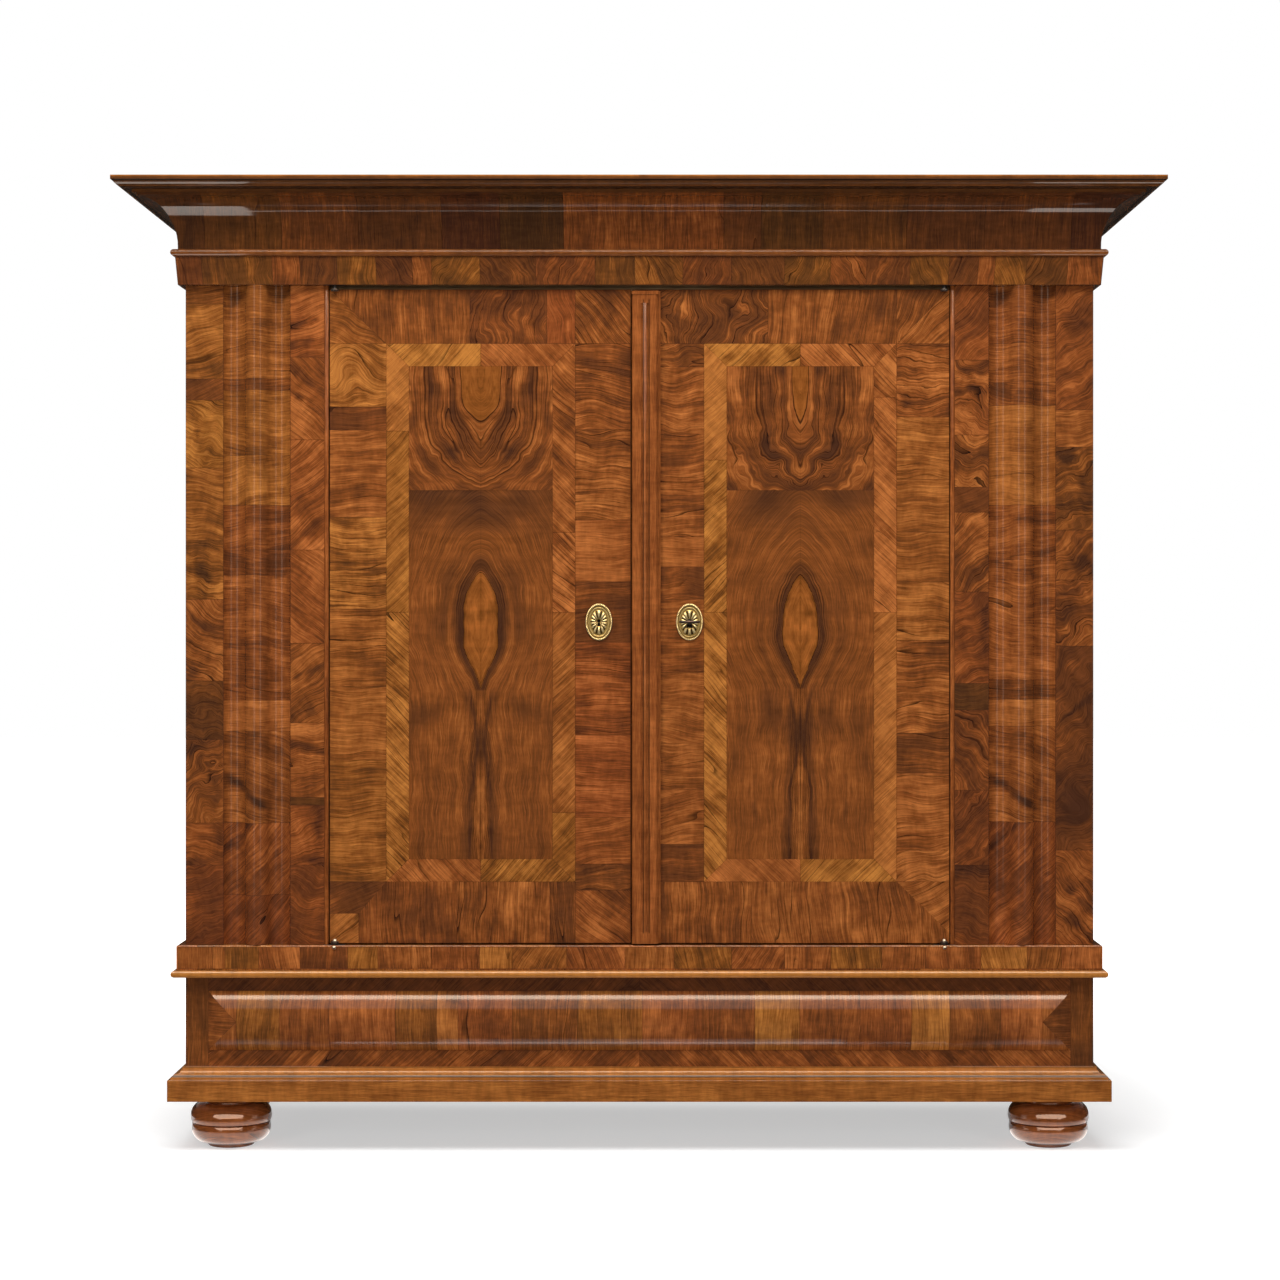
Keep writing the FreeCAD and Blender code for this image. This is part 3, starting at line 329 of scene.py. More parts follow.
def soft_edges(piece, width, segments=2, angle=32):
    """Rounds the arrises, and keeps the faces beside them flat to the eye."""
    weld = piece.modifiers.new("joined", "WELD")
    weld.merge_threshold = 0.00002
    edge = piece.modifiers.new("arris", "BEVEL")
    edge.width = width
    edge.segments = segments
    edge.limit_method = "ANGLE"
    edge.angle_limit = math.radians(angle)
    edge.harden_normals = True
    edge.use_clamp_overlap = True
    return piece


def blend(share, first, second, way="MIX"):
    made = beside((share, first, second), "Mix", share, data_type="RGBA", blend_type=way)
    feed(made.inputs[6], first)
    feed(made.inputs[7], second)
    return out(made, 2)


def tint(colour, by):
    return blend(1.0, colour, by, "MULTIPLY")


def xyz(x, y, z):
    return out(beside((x, y, z), "CombineXYZ", x, y, z))


def clouds(vector, scale, detail=2.0, rough=0.5):
    made = beside([vector], "TexNoise")
    send(made, Vector=vector, Scale=scale, Detail=detail, Roughness=rough)
    return out(made, "Fac")


def effect(name, takes, gives):
    """A shader group, empty yet: its tree, what goes in by name, and its result node."""
    tree = bpy.data.node_groups.new(name, "ShaderNodeTree")
    for way, sockets in (("INPUT", takes), ("OUTPUT", gives)):
        for title, given in sockets.items():
            kind = "Float" if isinstance(given, float) else "Color" if given else "Vector"
            made = tree.interface.new_socket(title, in_out=way, socket_type="NodeSocket" + kind)
            if given and way == "INPUT":
                made.default_value = given
    inlet = tree.nodes.new("NodeGroupInput")
    result = tree.nodes.new("NodeGroupOutput")
    return tree, {title: out(inlet, title) for title in takes}, result


surface_gives = {"Color": (0, 0, 0, 1), "Roughness": 0.0, "Height": 0.0}


def walnut_group():
    """Figure of walnut: bands, growth lines, ripple and pores, from coordinates that
    run across and along the grain; a crotch's heart lies where across is below zero."""
    tree, given, result = effect("walnut figure", {
        "Figure": None, "Leaf": None, "Dark": (0.056, 0.0205, 0.0085, 1),
        "Middle": (0.196, 0.059, 0.0125, 1), "Light": (0.380, 0.132, 0.029, 1),
        "Line": (0.014, 0.005, 0.0025, 1), "Heart": (0.250, 0.078, 0.0150, 1),
        "Line Density": 90.0, "Contrast": 1.0}, surface_gives)
    across, along, seed = parts_of(given["Figure"])
    light, warm, vein = parts_of(given["Leaf"])
    slow, still = along * 0.10, along * 0.035
    sway = clouds(xyz(across, along * 0.35, seed), 17, 2) - 0.5
    bent = across + sway * 0.016
    broad = clouds(xyz(bent, slow, seed), 46, 3, 0.6)
    streak = clouds(xyz(bent, still, seed), 210, 2)
    fine = clouds(xyz(bent, still, seed), 640, 2, 0.65)
    blotch = clouds(xyz(across, along * 0.8, seed + 9.2), 24, 4, 0.6)
    # growth lines: sharp on one side, fading on the other
    drift = clouds(xyz(across, slow, seed), 30, 0)
    phase = calc("FRACT", bent * given["Line Density"] + drift * 5.0)
    patch = clouds(xyz(bent * 1.6, slow, seed + 3.1), 17, 1)
    low = 0.66 - vein * 0.34
    line = span(phase, 0.0, 0.15, 1.0, 0.0, True) * span(patch, low, low + 0.22, 0, 1, True)
    # round the heart of a crotch the lines lie at settled distances
    rings = node_of(tree, "ValToRGB", across / 0.16)
    stops = rings.color_ramp.elements
    stops[0].color = stops[1].color = (0, 0, 0, 1)
    for at, half, depth in ((0.050, 0.010, 0.6), (0.120, 0.012, 0.9), (0.165, 0.014, 0.8),
                            (0.230, 0.016, 1.0), (0.285, 0.010, 0.5), (0.560, 0.018, 0.8),
                            (0.620, 0.026, 1.0), (0.690, 0.012, 0.7), (0.760, 0.016, 0.8)):
        for place, shade in ((at - half, 0.0), (at, depth), (at + half * 0.6, 0.0)):
            stops.new(place).color = (shade, shade, shade, 1)
    fade = span(clouds(xyz(across * 2.0, along, seed), 9, 1), 0.30, 0.55, 0.15, 1.0)
    crotch = span(across, 0.15, 0.16, 1.0, 0.0) * calc("MULTIPLY", vein, 1.5, clamp=True)
    line = calc("MAXIMUM", line, out(rings) * fade * crotch)
    # value from 0, dark, over 0.5, middle, to 1, light
    value = (broad - 0.5) * 1.3 + (streak - 0.5) * 0.9 + (blotch - 0.5) * 1.25
    value = value * (vein * 0.74 + 0.36) + (fine - 0.5) * 0.95
    value = value * given["Contrast"] + light * 1.25 + 0.5
    value = calc("ADD", value, (0.22 - calc("MINIMUM", value, 0.22)) * 0.62, clamp=True)
    colour = blend(span(value, 0.0, 0.5), given["Dark"], given["Middle"])
    colour = blend(span(value, 0.5, 1.0), colour, given["Light"])
    redder = tint(colour, (1.06, 0.88, 1.02, 1))
    golden = tint(colour, (1.06, 1.16, 0.96, 1))
    colour = blend(span(warm, 0.02, 0.30, 0.8, 0.0), colour, golden)
    colour = blend(warm, colour, redder)
    colour = blend(line * 0.90, colour, given["Line"])
    # the heart, and the thin dark outline round it
    mottle = clouds(xyz(across * 1.6, along * 0.6, seed), 60, 4, 0.6) * 0.8 + fine * 0.4
    pale = blend(span(mottle, 0.42, 0.80), (0.62, 0.59, 0.56, 1), (1.22, 1.20, 1.14, 1))
    pale = tint(tint(given["Heart"], pale), span(light, -0.5, 0.5, 0.5, 1.5))
    colour = blend(span(across, -0.0008, 0.0004, 1.0, 0.0, True), colour, pale)
    outline = span(abs(across - 0.0006), 0.0003, 0.0016, 0.85, 0.0, True)
    colour = blend(outline, colour, given["Line"])
    # ripple across the grain, seen as faint light and dark bars, and pores
    curl = clouds(xyz(across * 0.3, along, seed + 5.7), 95, 2)
    pore = span(clouds(xyz(bent, still, seed), 1500, 1), 0.60, 0.72)
    grain = fine * 0.40 + streak * 0.34 + blotch * 0.30 + 0.48
    bars = span(curl, 0.3, 0.7, 0.88, 1.12) * grain * span(pore, 0, 1, 1.0, 0.68)
    wave = clouds(xyz(across, along, seed), 5.5, 1)
    send(result, Color=tint(colour, bars), Roughness=span(fine, 0.2, 0.8, 0.04, 0.085),
         Height=wave + streak * 0.012 - pore * 0.004)
    return tree


walnut_figure = walnut_group()


def surface(material, colour, roughness, height=None, depth=0.0, numbers=None):
    """Gives a material its shader, with relief depth metres deep, and plain numbers."""
    tree = material.node_tree
    shader = node_of(tree, "BsdfPrincipled")
    send(shader, **{"Base Color": colour, "Roughness": roughness}, **(numbers or {}))
    if height:
        bump = node_of(tree, "Bump")
        send(bump, Strength=1.0, Distance=depth, Height=height)
        send(shader, Normal=out(bump))
    show(tree, shader)
    return material


def polished(material, vector, leaf, joint=None, density=90.0, contrast=1.0, waviness=0.0008,
             haze=None, numbers=None):
    """Polished walnut whose grain follows vector. leaf is its lightness, warmth and vein,
    joint is where it is dark: with glue at veneer joints, and with painted shade in
    quirks and channels; haze is what a softer polish adds to the roughness."""
    wood = node_of(material.node_tree, "Group", node_tree=walnut_figure)
    send(wood, Figure=vector, Leaf=leaf, Contrast=contrast, **{"Line Density": density})
    colour, roughness = out(wood, "Color"), out(wood, "Roughness")
    if joint:
        colour = blend(joint, colour, (0.012, 0.005, 0.003, 1))
    if haze:
        roughness = roughness + haze
    return surface(material, colour, roughness, out(wood, "Height"), waviness, numbers)


def along_axis(name, axis, leaf=(0.0, 0.0, 0.3), **rest):
    """Polished walnut with its grain along one axis."""
    material = new_material(name)
    x, y, z = parts_of(where(material))
    first, second, along = {"x": (z, y, x), "y": (z, x, y), "z": (x, y, z)}[axis]
    return polished(material, xyz(first + second * 0.45 + 5.0, along, 1.7), leaf, **rest)


def wear(piece, material):
    piece.data.materials.clear()
    piece.data.materials.append(material)
    return piece


def dress(names, material, arris=0.0006):
    """CAD nodes that stay: their finish, and softened edges."""
    for name in names.split():
        for slot in nodes[name].material_slots:
            slot.material = material
        if arris:
            soft_edges(nodes[name], arris)


foot_profile = [(0.0, 0.0), (0.0465, 0.0), (0.048, 0.0015), (0.048, 0.0074)]
foot_profile += arc_points((0.0489, 0.0075), (0.0810, 0.0475), -0.27, 20)
foot_profile += [(0.0795, 0.0485), (0.0755, 0.04925), (0.0795, 0.0505)]
foot_profile += arc_points((0.0825, 0.0512), (0.0510, 0.0920), -0.29, 22)
foot_profile += [(0.0510, 0.1075), (0.0190, 0.1075), (0.0190, 0.1775), (0.0, 0.1775)]
foot_finish = along_axis("turned_walnut_feet", "x", (0.16, 0.9, 0.4), density=40.0,
                         contrast=0.8, waviness=0.0001, numbers={
                             "Metallic": 0.10, "Coat Weight": 1.0, "Coat Roughness": 0.03})
for side, x in (("left", -foot_x), ("right", foot_x)):
    foot = turned("bun_foot_" + side, foot_profile, (x, foot_y))
    wear(foot, foot_finish)
    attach(foot, "carcass")
    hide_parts("foot_front_" + side)


# Back feet and the blocks inside the corners: plain softwood, sawn square and
# glued, out of sight from the front.
def bare_wood_group():
    """Aged softwood: growth bands and lines, a few knots, grime, in coordinates with z
    along."""
    tree, given, result = effect("bare softwood", {"Grain": None}, surface_gives)
    x, y, z = parts_of(given["Grain"])
    stretched = xyz(x, y, z * 0.06)
    bands = clouds(stretched, 60, 3, 0.55)
    hairs = clouds(stretched, 300, 2, 0.6)
    grime = clouds(given["Grain"], 4.5, 4, 0.6)
    colour = blend(span(bands, 0.32, 0.68), (0.20, 0.105, 0.045, 1), (0.42, 0.26, 0.125, 1))
    colour = blend(span(hairs, 0.40, 0.66, 0.0, 0.45), colour, (0.12, 0.062, 0.028, 1))
    bend = clouds(xyz(x, y, z * 0.28), 4.2, 3, 0.45)
    late = calc("POWER", calc("FRACT", (x + bend * 0.16) * 105.0), 2.5)
    colour = blend(late * 0.55, colour, (0.15, 0.072, 0.030, 1))
    knots = node_of(tree, "TexVoronoi")
    send(knots, Vector=xyz(x, y, z * 0.55), Scale=3.4)
    knot = out(knots, "Distance")
    ring = calc("FRACT", knot * 42.0) * 0.5
    colour = blend(span(knot, 0.05, 0.10, 1.0, 0.0, True) * ring, colour,
                   (0.10, 0.045, 0.018, 1))
    colour = blend(span(knot, 0.028, 0.046, 0.9, 0.0, True), colour, (0.055, 0.024, 0.010, 1))
    colour = blend(span(grime, 0.40, 0.75, 0.0, 0.40), colour, (0.11, 0.062, 0.030, 1))
    send(result, Color=colour, Roughness=span(bands, 0.2, 0.8, 0.70, 0.88),
         Height=hairs + bands + late)
    return tree


bare_wood = bare_wood_group()


def softwood(name, axis, board=None, first=0.0):
    """Bare softwood with its grain along axis; board is the width after which the
    figure changes from one board to the next, counted from first."""
    material = new_material(name)
    x, y, z = parts_of(where(material))
    side, deep, along = {"x": (z, y, x), "y": (x, z, y), "z": (x, y, z)}[axis]
    if board:
        place = (side - first) / board
        count = calc("FLOOR", place)
        deep = deep + count * 1.37
    wood = node_of(material.node_tree, "Group", node_tree=bare_wood)
    send(wood, Grain=xyz(side, deep, along))
    colour = out(wood, "Color")
    if board:
        colour = tint(colour, span(clouds(xyz(7.0, count, 3.0), 0.77, 0), 0.25, 0.75, 0.62, 1.30))
        edge = abs(calc("FRACT", place) - 0.5)
        joint = span(edge, 0.5 - 0.0022 / board, 0.5 - 0.0010 / board, 0.0, 0.85, True)
        colour = blend(joint, colour, (0.014, 0.008, 0.005, 1))
    return surface(material, colour, out(wood, "Roughness"), out(wood, "Height"), 0.0004,
                   {"Specular IOR Level": 0.15})


bare_upright = softwood("bare_softwood_upright", "z")
bare_lengthwise = softwood("bare_softwood_lengthwise", "x")
dress("foot_back_left foot_back_right foot_blocks", bare_upright, 0.001)


# Plinth with its ogee moulding: three mitred lengths of each, in plain walnut with
# the grain along them; painted highlights lie on the plinth's top arris and the ogee,
# and painted shade in the moulding's quirks.
case_half_width, case_front = 0.939, -0.2595


def round_case(point):
    """A place round the case: x, y, z, how far it stands out of the front and of the
    sides, and 1 where the sides take over from the front."""
    x, y, z = parts_of(point)
    front_out, side_out = case_front - y, abs(x) - case_half_width
    return x, y, z, front_out, side_out, calc("GREATER_THAN", side_out, front_out)


def run_group():
    """Veneer in short leaves side by side round the case. Turn lays their grain
    upright at 0 and slanting to the middle at 1."""
    tree, given, result = effect(
        "leaves round the case", {
            "Point": None, "Leaves": 9.0, "Turn": 0.0, "Seed": 0.0, "Light": 0.0,
            "Warm": 0.3, "Vein": 0.4, "Variety": 0.5},
        {"Figure": None, "Leaf": None, "Joint": 0.0})
    x, y, z, front_out, side_out, side = round_case(given["Point"])
    run = span(side, 0, 1, x, y + 7.0)
    rise = z + span(side, 0, 1, front_out, side_out)
    place = (run + given["Seed"]) * given["Leaves"]
    cell = node_of(tree, "TexVoronoi", voronoi_dimensions="1D")
    edge = node_of(tree, "TexVoronoi", voronoi_dimensions="1D", feature="DISTANCE_TO_EDGE")
    for cells in (cell, edge):
        send(cells, W=place, Scale=1.0)
    red, green, blue = parts_of(out(cell, "Color"))
    across = span(given["Turn"], 0, 1, run, (abs(run) + rise) * 0.707)
    light = (blue - 0.5) * given["Variety"] + given["Light"]
    warm = given["Warm"] + (red - 0.5) * 0.6
    send(result, Figure=xyz(across + 9.0 + red, rise, green * 37.0),
         Leaf=xyz(light, warm, given["Vein"]),
         Joint=span(out(edge, "Distance"), 0.001, 0.006, 0.75, 0.0, True))
    return tree


def length_group():
    """Across and along the grain for solid lengths that run round the case."""
    tree, given, result = effect("lengths round the case", {"Point": None}, {"Figure": None})
    x, y, z, front_out, side_out, side = round_case(given["Point"])
    along = span(side, 0, 1, x, y)
    outward = span(side, 0, 1, front_out, side_out)
    across = outward * 0.6 + z * 0.8 + 5.0
    send(result, Figure=xyz(across, along, (side + calc("SIGN", x)) * 2.3))
    return tree


leaves_round = run_group()
lengths_round = length_group()


def long_walnut(name, leaf, **rest):
    """Polished walnut whose grain runs along the lengths round the case."""
    material = new_material(name)
    turn = node_of(material.node_tree, "Group", node_tree=lengths_round)
    send(turn, Point=where(material))
    return polished(material, out(turn), leaf, **rest)


def run_of_leaves(name, **values):
    """Polished walnut in short leaves; values set their number, slant, tone and seed."""
    material = new_material(name)
    run = node_of(material.node_tree, "Group", node_tree=leaves_round)
    send(run, Point=where(material), **values)
    return polished(material, out(run, "Figure"), out(run, "Leaf"), out(run, "Joint"))


def moulded_walnut(name, light, highlight_steps, shaded_quirks, **rest):
    """Long-grained walnut with painted highlights that lighten it at the listed heights, and
    painted shade that darkens the quirks, given as height, half width, depth."""
    material = new_material(name)
    place = where(material)
    turn = node_of(material.node_tree, "Group", node_tree=lengths_round)
    send(turn, Point=place)
    height = parts_of(place)[2]
    # painted highlights: the colour lightens across each listed band of heights
    for low, high, gain in highlight_steps:
        light = span(height, low, high, 0.0, gain, True) + light
    # painted shade: the colour darkens in each quirk
    painted_quirk_shade = 0.0
    for at, half, depth in shaded_quirks:
        near = span(abs(height - at), half * 0.6, half, depth, 0.0, True)
        painted_quirk_shade = calc("MAXIMUM", near, painted_quirk_shade)
    return polished(material, out(turn), xyz(light, 0.1, 0.25), painted_quirk_shade, haze=painted_quirk_shade * 0.35, **rest)


# The plinth's band is a painted highlight along its top arris.
dress("plinth_front plinth_left plinth_right",
      moulded_walnut("plinth_walnut", 0.10, [(0.1540, 0.1550, 0.80)], [], contrast=0.8), 0.0008)
# The base moulding's band is a painted highlight on the ogee, and its quirks are painted shade;
# the top one also marks the dark joint under the base front.
dress("base_moulding", moulded_walnut("base_moulding_walnut", 0.30, [(0.1625, 0.1665, 0.15)],
                                      [(0.1586, 0.0026, 0.85), (0.1742, 0.0014, 0.45),
                                       (0.1808, 0.0018, 0.70)], contrast=0.6), 0)


# Base box: boards whose veneer slants down to the middle, dark above the cushion, partly
# as painted shade under the bead, and redder below it, with upright leaves at both ends.
dress("base_front", run_of_leaves("base_ground_walnut", Leaves=1.3, Turn=1.0, Seed=6.4,
                                  Light=-0.10, Warm=0.3, Vein=0.5), 0)
dress("base_side_left base_side_right",
      run_of_leaves("base_side_walnut", Leaves=5.0, Seed=7.0, Light=-0.04, Vein=0.5))
dress("base_back", bare_lengthwise)


# Case: side walls in broad upright leaves, core posts and jamb beads; bare
# softwood floor, head board, shelves on bearers, and upright back boards.
dress("side_wall_left side_wall_right",
      run_of_leaves("side_wall_walnut", Leaves=4.4, Seed=21.0, Light=0.0, Warm=0.3,
                    Vein=0.7, Variety=0.2))
dress("jamb_beads", along_axis("jamb_walnut", "z", (0.02, 0.6, 0.2),
                               numbers={"Specular IOR Level": 0.25}), 0.0004)
dress("post_left post_right", bare_upright, 0.0008)
back_west, back_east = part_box("back_boards")[0][0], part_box("back_boards")[1][0]
board_width = (back_east - back_west) / 12
dress("back_boards", softwood("back_board_softwood", "z", board_width, back_west), 0)
dress("floor_board head_board shelf_lower shelf_upper shelf_bearers", bare_lengthwise, 0.0008)


# Front posts: flat strips and the wave-moulded pilaster between them, each faced
# with leaves of burry walnut laid with the grain across the post.
class Leaves:
    """Leaves of veneer cut to shape and laid edge to edge, to be one piece. place gives
    the point at a, b on the ground and a height above it; face is a flat ground's y."""

    def __init__(self, face=None, place=None, depth=0.0003, step=0.006):
        self.place = place or (lambda a, b, lift: (a, face - lift, b))
        self.depth = depth
        self.step = step
        self.points = []
        self.faces = []
        self.figure = []
        self.tone = []

    def cuts(self, length, joint):
        """Places along a leaf's edge from 0 to 1, close together beside the joints."""
        count = max(2, math.ceil(length / self.step))
        even = [k / count for k in range(count + 1)]
        if not joint:
            return even
        near = min(0.0012 / length, 0.2 / count)
        return [0.0, near] + even[1:-1] + [1 - near, 1.0]

    def lay(self, corners, field, joint=0.35):
        """corners go round from the lower left, anticlockwise as seen; field gives
        across, along, seed, light, warmth and vein at a place on the leaf, and joint is
        how much polish and glue darken its rim."""
        (ax, az), (bx, bz), (cx, cz), (dx, dz) = corners
        across_cuts = self.cuts(max(math.hypot(bx - ax, bz - az),
                                    math.hypot(cx - dx, cz - dz)), joint)
        along_cuts = self.cuts(max(math.hypot(dx - ax, dz - az),
                                   math.hypot(cx - bx, cz - bz)), joint)
        columns, rows = len(across_cuts) - 1, len(along_cuts) - 1
        start = len(self.points)
        plane = []
        for row, v in enumerate(along_cuts):
            for column, u in enumerate(across_cuts):
                a = (ax * (1 - u) + bx * u) * (1 - v) + (dx * (1 - u) + cx * u) * v
                b = (az * (1 - u) + bz * u) * (1 - v) + (dz * (1 - u) + cz * u) * v
                on_rim = row in (0, rows) or column in (0, columns)
                plane.append((a, b, joint * on_rim))
        for lift in (self.depth, 0.0):
            for a, b, dark in plane:
                self.points.append(self.place(a, b, lift))
                across, along, seed, light, warm, vein = field(a, b)
                self.figure.append((across, along, seed))
                self.tone.append((light - dark, warm, vein))
        line = columns + 1
        back = start + len(plane)
        for row in range(rows):
            for column in range(columns):
                k = start + row * line + column
                self.faces.append((k, k + 1, k + line + 1, k + line))
        rim = list(range(columns))
        rim += [columns + row * line for row in range(rows)]
        rim += [rows * line + columns - k for k in range(columns)]
        rim += [(rows - row) * line for row in range(rows)]
        for k, this in enumerate(rim):
            that = rim[(k + 1) % len(rim)]
            self.faces.append((start + this, back + this, back + that, start + that))
        for row in range(rows):
            for column in range(columns):
                k = back + row * line + column
                self.faces.append((k, k + line, k + line + 1, k + 1))

    def piece(self, name, material, smooth):
        made = mesh_from(name, self.points, self.faces, smooth)
        for title, rows in (("figure", self.figure), ("leaf", self.tone)):
            held = made.data.attributes.new(title, "FLOAT_VECTOR", "POINT")
            held.data.foreach_set("vector", [number for row in rows for number in row])
        return wear(made, material)


def swirl(a, b, seed, size):
    """A smooth random number from about -1 to 1 that changes over size metres."""
    return noise.noise(Vector((a / size, b / size, seed * 3.7))) * 1.6


def plain_leaf(angle, seed, light=0.0, warm=0.3, vein=0.4, wave=0.004, size=0.09, wild=0.0,
               spots=()):
    """A leaf cut along the grain. angle turns the grain up from the horizontal, wave and
    size make it wavy, wild adds tight swirls, and spots are soft dark patches: x, z, half
    width, half height, depth and the slope they lie at."""
    turn = math.radians(angle)
    cos, sin = math.cos(turn), math.sin(turn)

    def field(x, z):
        along = x * cos + z * sin
        across = z * cos - x * sin
        across += wave * swirl(along, across * 0.6, seed, size)
        if wild:
            across += wild * swirl(x, z, seed + 0.3, 0.030)
            across += wild * 0.5 * swirl(x, z, seed + 0.6, 0.014)
        shade = light + 0.12 * swirl(x, z, seed + 0.8, 0.10)
        line = vein
        for sx, sz, half_wide, half_tall, depth, slope in spots:
            off = (z - sz - slope * (x - sx)) / half_tall
            hold = math.exp(-((x - sx) / half_wide) ** 2 - off ** 2)
            shade -= depth * hold * (0.75 + 0.6 * swirl(x, z, seed + 1.4, 0.020))
            line += depth * hold
        return (across + 4.0, along, seed, shade, warm, line)

    return field


def pile(sheet, left, right, rows, size=0.07):
    """Leaves one above another: head, foot, light, warmth, vein, wave, angle, wildness
    and spots of each."""
    for k, (head, foot, light, warm, vein, wave, angle, wild, spots) in enumerate(rows):
        sheet.lay(four(left, right, foot, head),
                  plain_leaf(angle, 20 + k * 1.7 + left * 11, light, warm, vein, wave, size,
                             wild, spots))


def leaf_walnut(name, haze=None):
    """The polished veneer of pieces made as Leaves."""
    material = new_material(name)
    figure, leaf = (out(node_of(material.node_tree, "Attribute", attribute_name=title), "Vector")
                    for title in ("figure", "leaf"))
    return polished(material, figure, leaf, haze=haze)


veneer_walnut = leaf_walnut("veneer_walnut")
soft_veneer_walnut = leaf_walnut("soft_veneer_walnut", 0.075)


def on_case(sheet, name, material=veneer_walnut, smooth=False):
    """Makes a sheet of leaves one piece that stays with the case."""
    piece = sheet.piece(name, material, smooth)
    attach(piece, "carcass")


post_foot, post_head, post_face = 0.4276, 1.7909, case_front
solid_under_veneer = along_axis("post_walnut", "z", (-0.1, 0.4, 0.3))
dress("outer_strip_left outer_strip_right pilaster_left pilaster_right "
      "inner_strip_left inner_strip_right", solid_under_veneer, 0)

outer_leaves = {
    "left": [
        (post_head, 1.753, -0.10, 0.2, 0.4, 0.004, 4, 0, ()),
        (1.753, 1.598, 0.06, 0.1, 0.5, 0.006, 16, 0, ((-0.90, 1.62, 0.06, 0.015, 0.2, 0.3),)),
        (1.598, 1.554, -0.34, 0.3, 0.2, 0.003, 28, 0, ()),
        (1.554, 1.414, 0.10, 0.0, 0.8, 0.014, -20, 0.005,
         ((-0.915, 1.485, 0.012, 0.030, 0.35, -1.2),)),
        (1.414, 1.264, 0.00, 0.1, 0.7, 0.006, -13, 0, ()),
        (1.264, 1.142, -0.02, 0.1, 0.8, 0.012, -8, 0.006,
         ((-0.900, 1.180, 0.018, 0.030, 0.7, -1.3), (-0.92, 1.25, 0.05, 0.010, 0.4, 0.1))),
        (1.142, 0.973, -0.04, 0.3, 0.8, 0.010, -28, 0.003,
         ((-0.905, 1.09, 0.05, 0.012, 0.4, -0.6), (-0.93, 0.99, 0.03, 0.02, 0.4, 0))),
        (0.973, 0.852, -0.42, 0.2, 0.7, 0.012, -10, 0.008, ()),
        (0.852, 0.679, -0.04, 0.3, 0.8, 0.022, 30, 0.009,
         ((-0.92, 0.835, 0.05, 0.012, 0.5, 0.5), (-0.875, 0.76, 0.012, 0.05, 0.35, 0))),
        (0.679, 0.592, -0.06, 0.6, 0.4, 0.006, -10, 0.004,
         ((-0.868, 0.63, 0.012, 0.03, 0.5, 0), (-0.92, 0.60, 0.05, 0.010, 0.5, 0.1))),
        (0.592, post_foot, -0.20, 0.8, 0.4, 0.012, 20, 0.006, ())],
    "right": [
        (post_head, 1.534, -0.08, 0.6, 0.4, 0.010, 36, 0.005,
         ((0.92, 1.72, 0.03, 0.05, 0.25, 0), (0.88, 1.60, 0.02, 0.02, 0.3, 0.6))),
        (1.534, 1.457, 0.06, 0.3, 0.7, 0.006, 8, 0.002, ()),
        (1.457, 1.285, -0.12, 0.2, 0.9, 0.014, 20, 0.008,
         ((0.89, 1.440, 0.03, 0.012, 0.9, 0.15), (0.875, 1.34, 0.02, 0.03, 0.4, 0),
          (0.925, 1.37, 0.015, 0.04, 0.4, 0))),
        (1.285, 1.182, -0.08, 0.3, 0.7, 0.014, 30, 0.007,
         ((0.92, 1.215, 0.03, 0.014, 0.8, -0.4),)),
        (1.182, 1.045, -0.12, 0.4, 0.8, 0.016, 20, 0.008, ((0.88, 1.12, 0.02, 0.04, 0.3, 0),)),
        (1.045, 0.623, -0.34, 0.4, 0.5, 0.030, 40, 0.006,
         ((0.92, 0.93, 0.05, 0.008, 0.5, 0.9), (0.885, 0.85, 0.03, 0.012, -0.4, 0.8),
          (0.90, 0.70, 0.05, 0.05, 0.25, 0))),
        (0.623, post_foot, -0.04, 0.5, 0.6, 0.010, -42, 0.004,
         ((0.90, 0.53, 0.06, 0.014, 0.5, -0.9), (0.92, 0.46, 0.05, 0.014, 0.5, -0.7)))]}
outer_width, inner_width = 0.078, 0.0705
for side, left in (("left", -0.939), ("right", 0.861)):
    sheet = Leaves(face=post_face)
    pile(sheet, left, left + outer_width, outer_leaves[side], 0.05)
    on_case(sheet, "outer_strip_veneer_" + side)

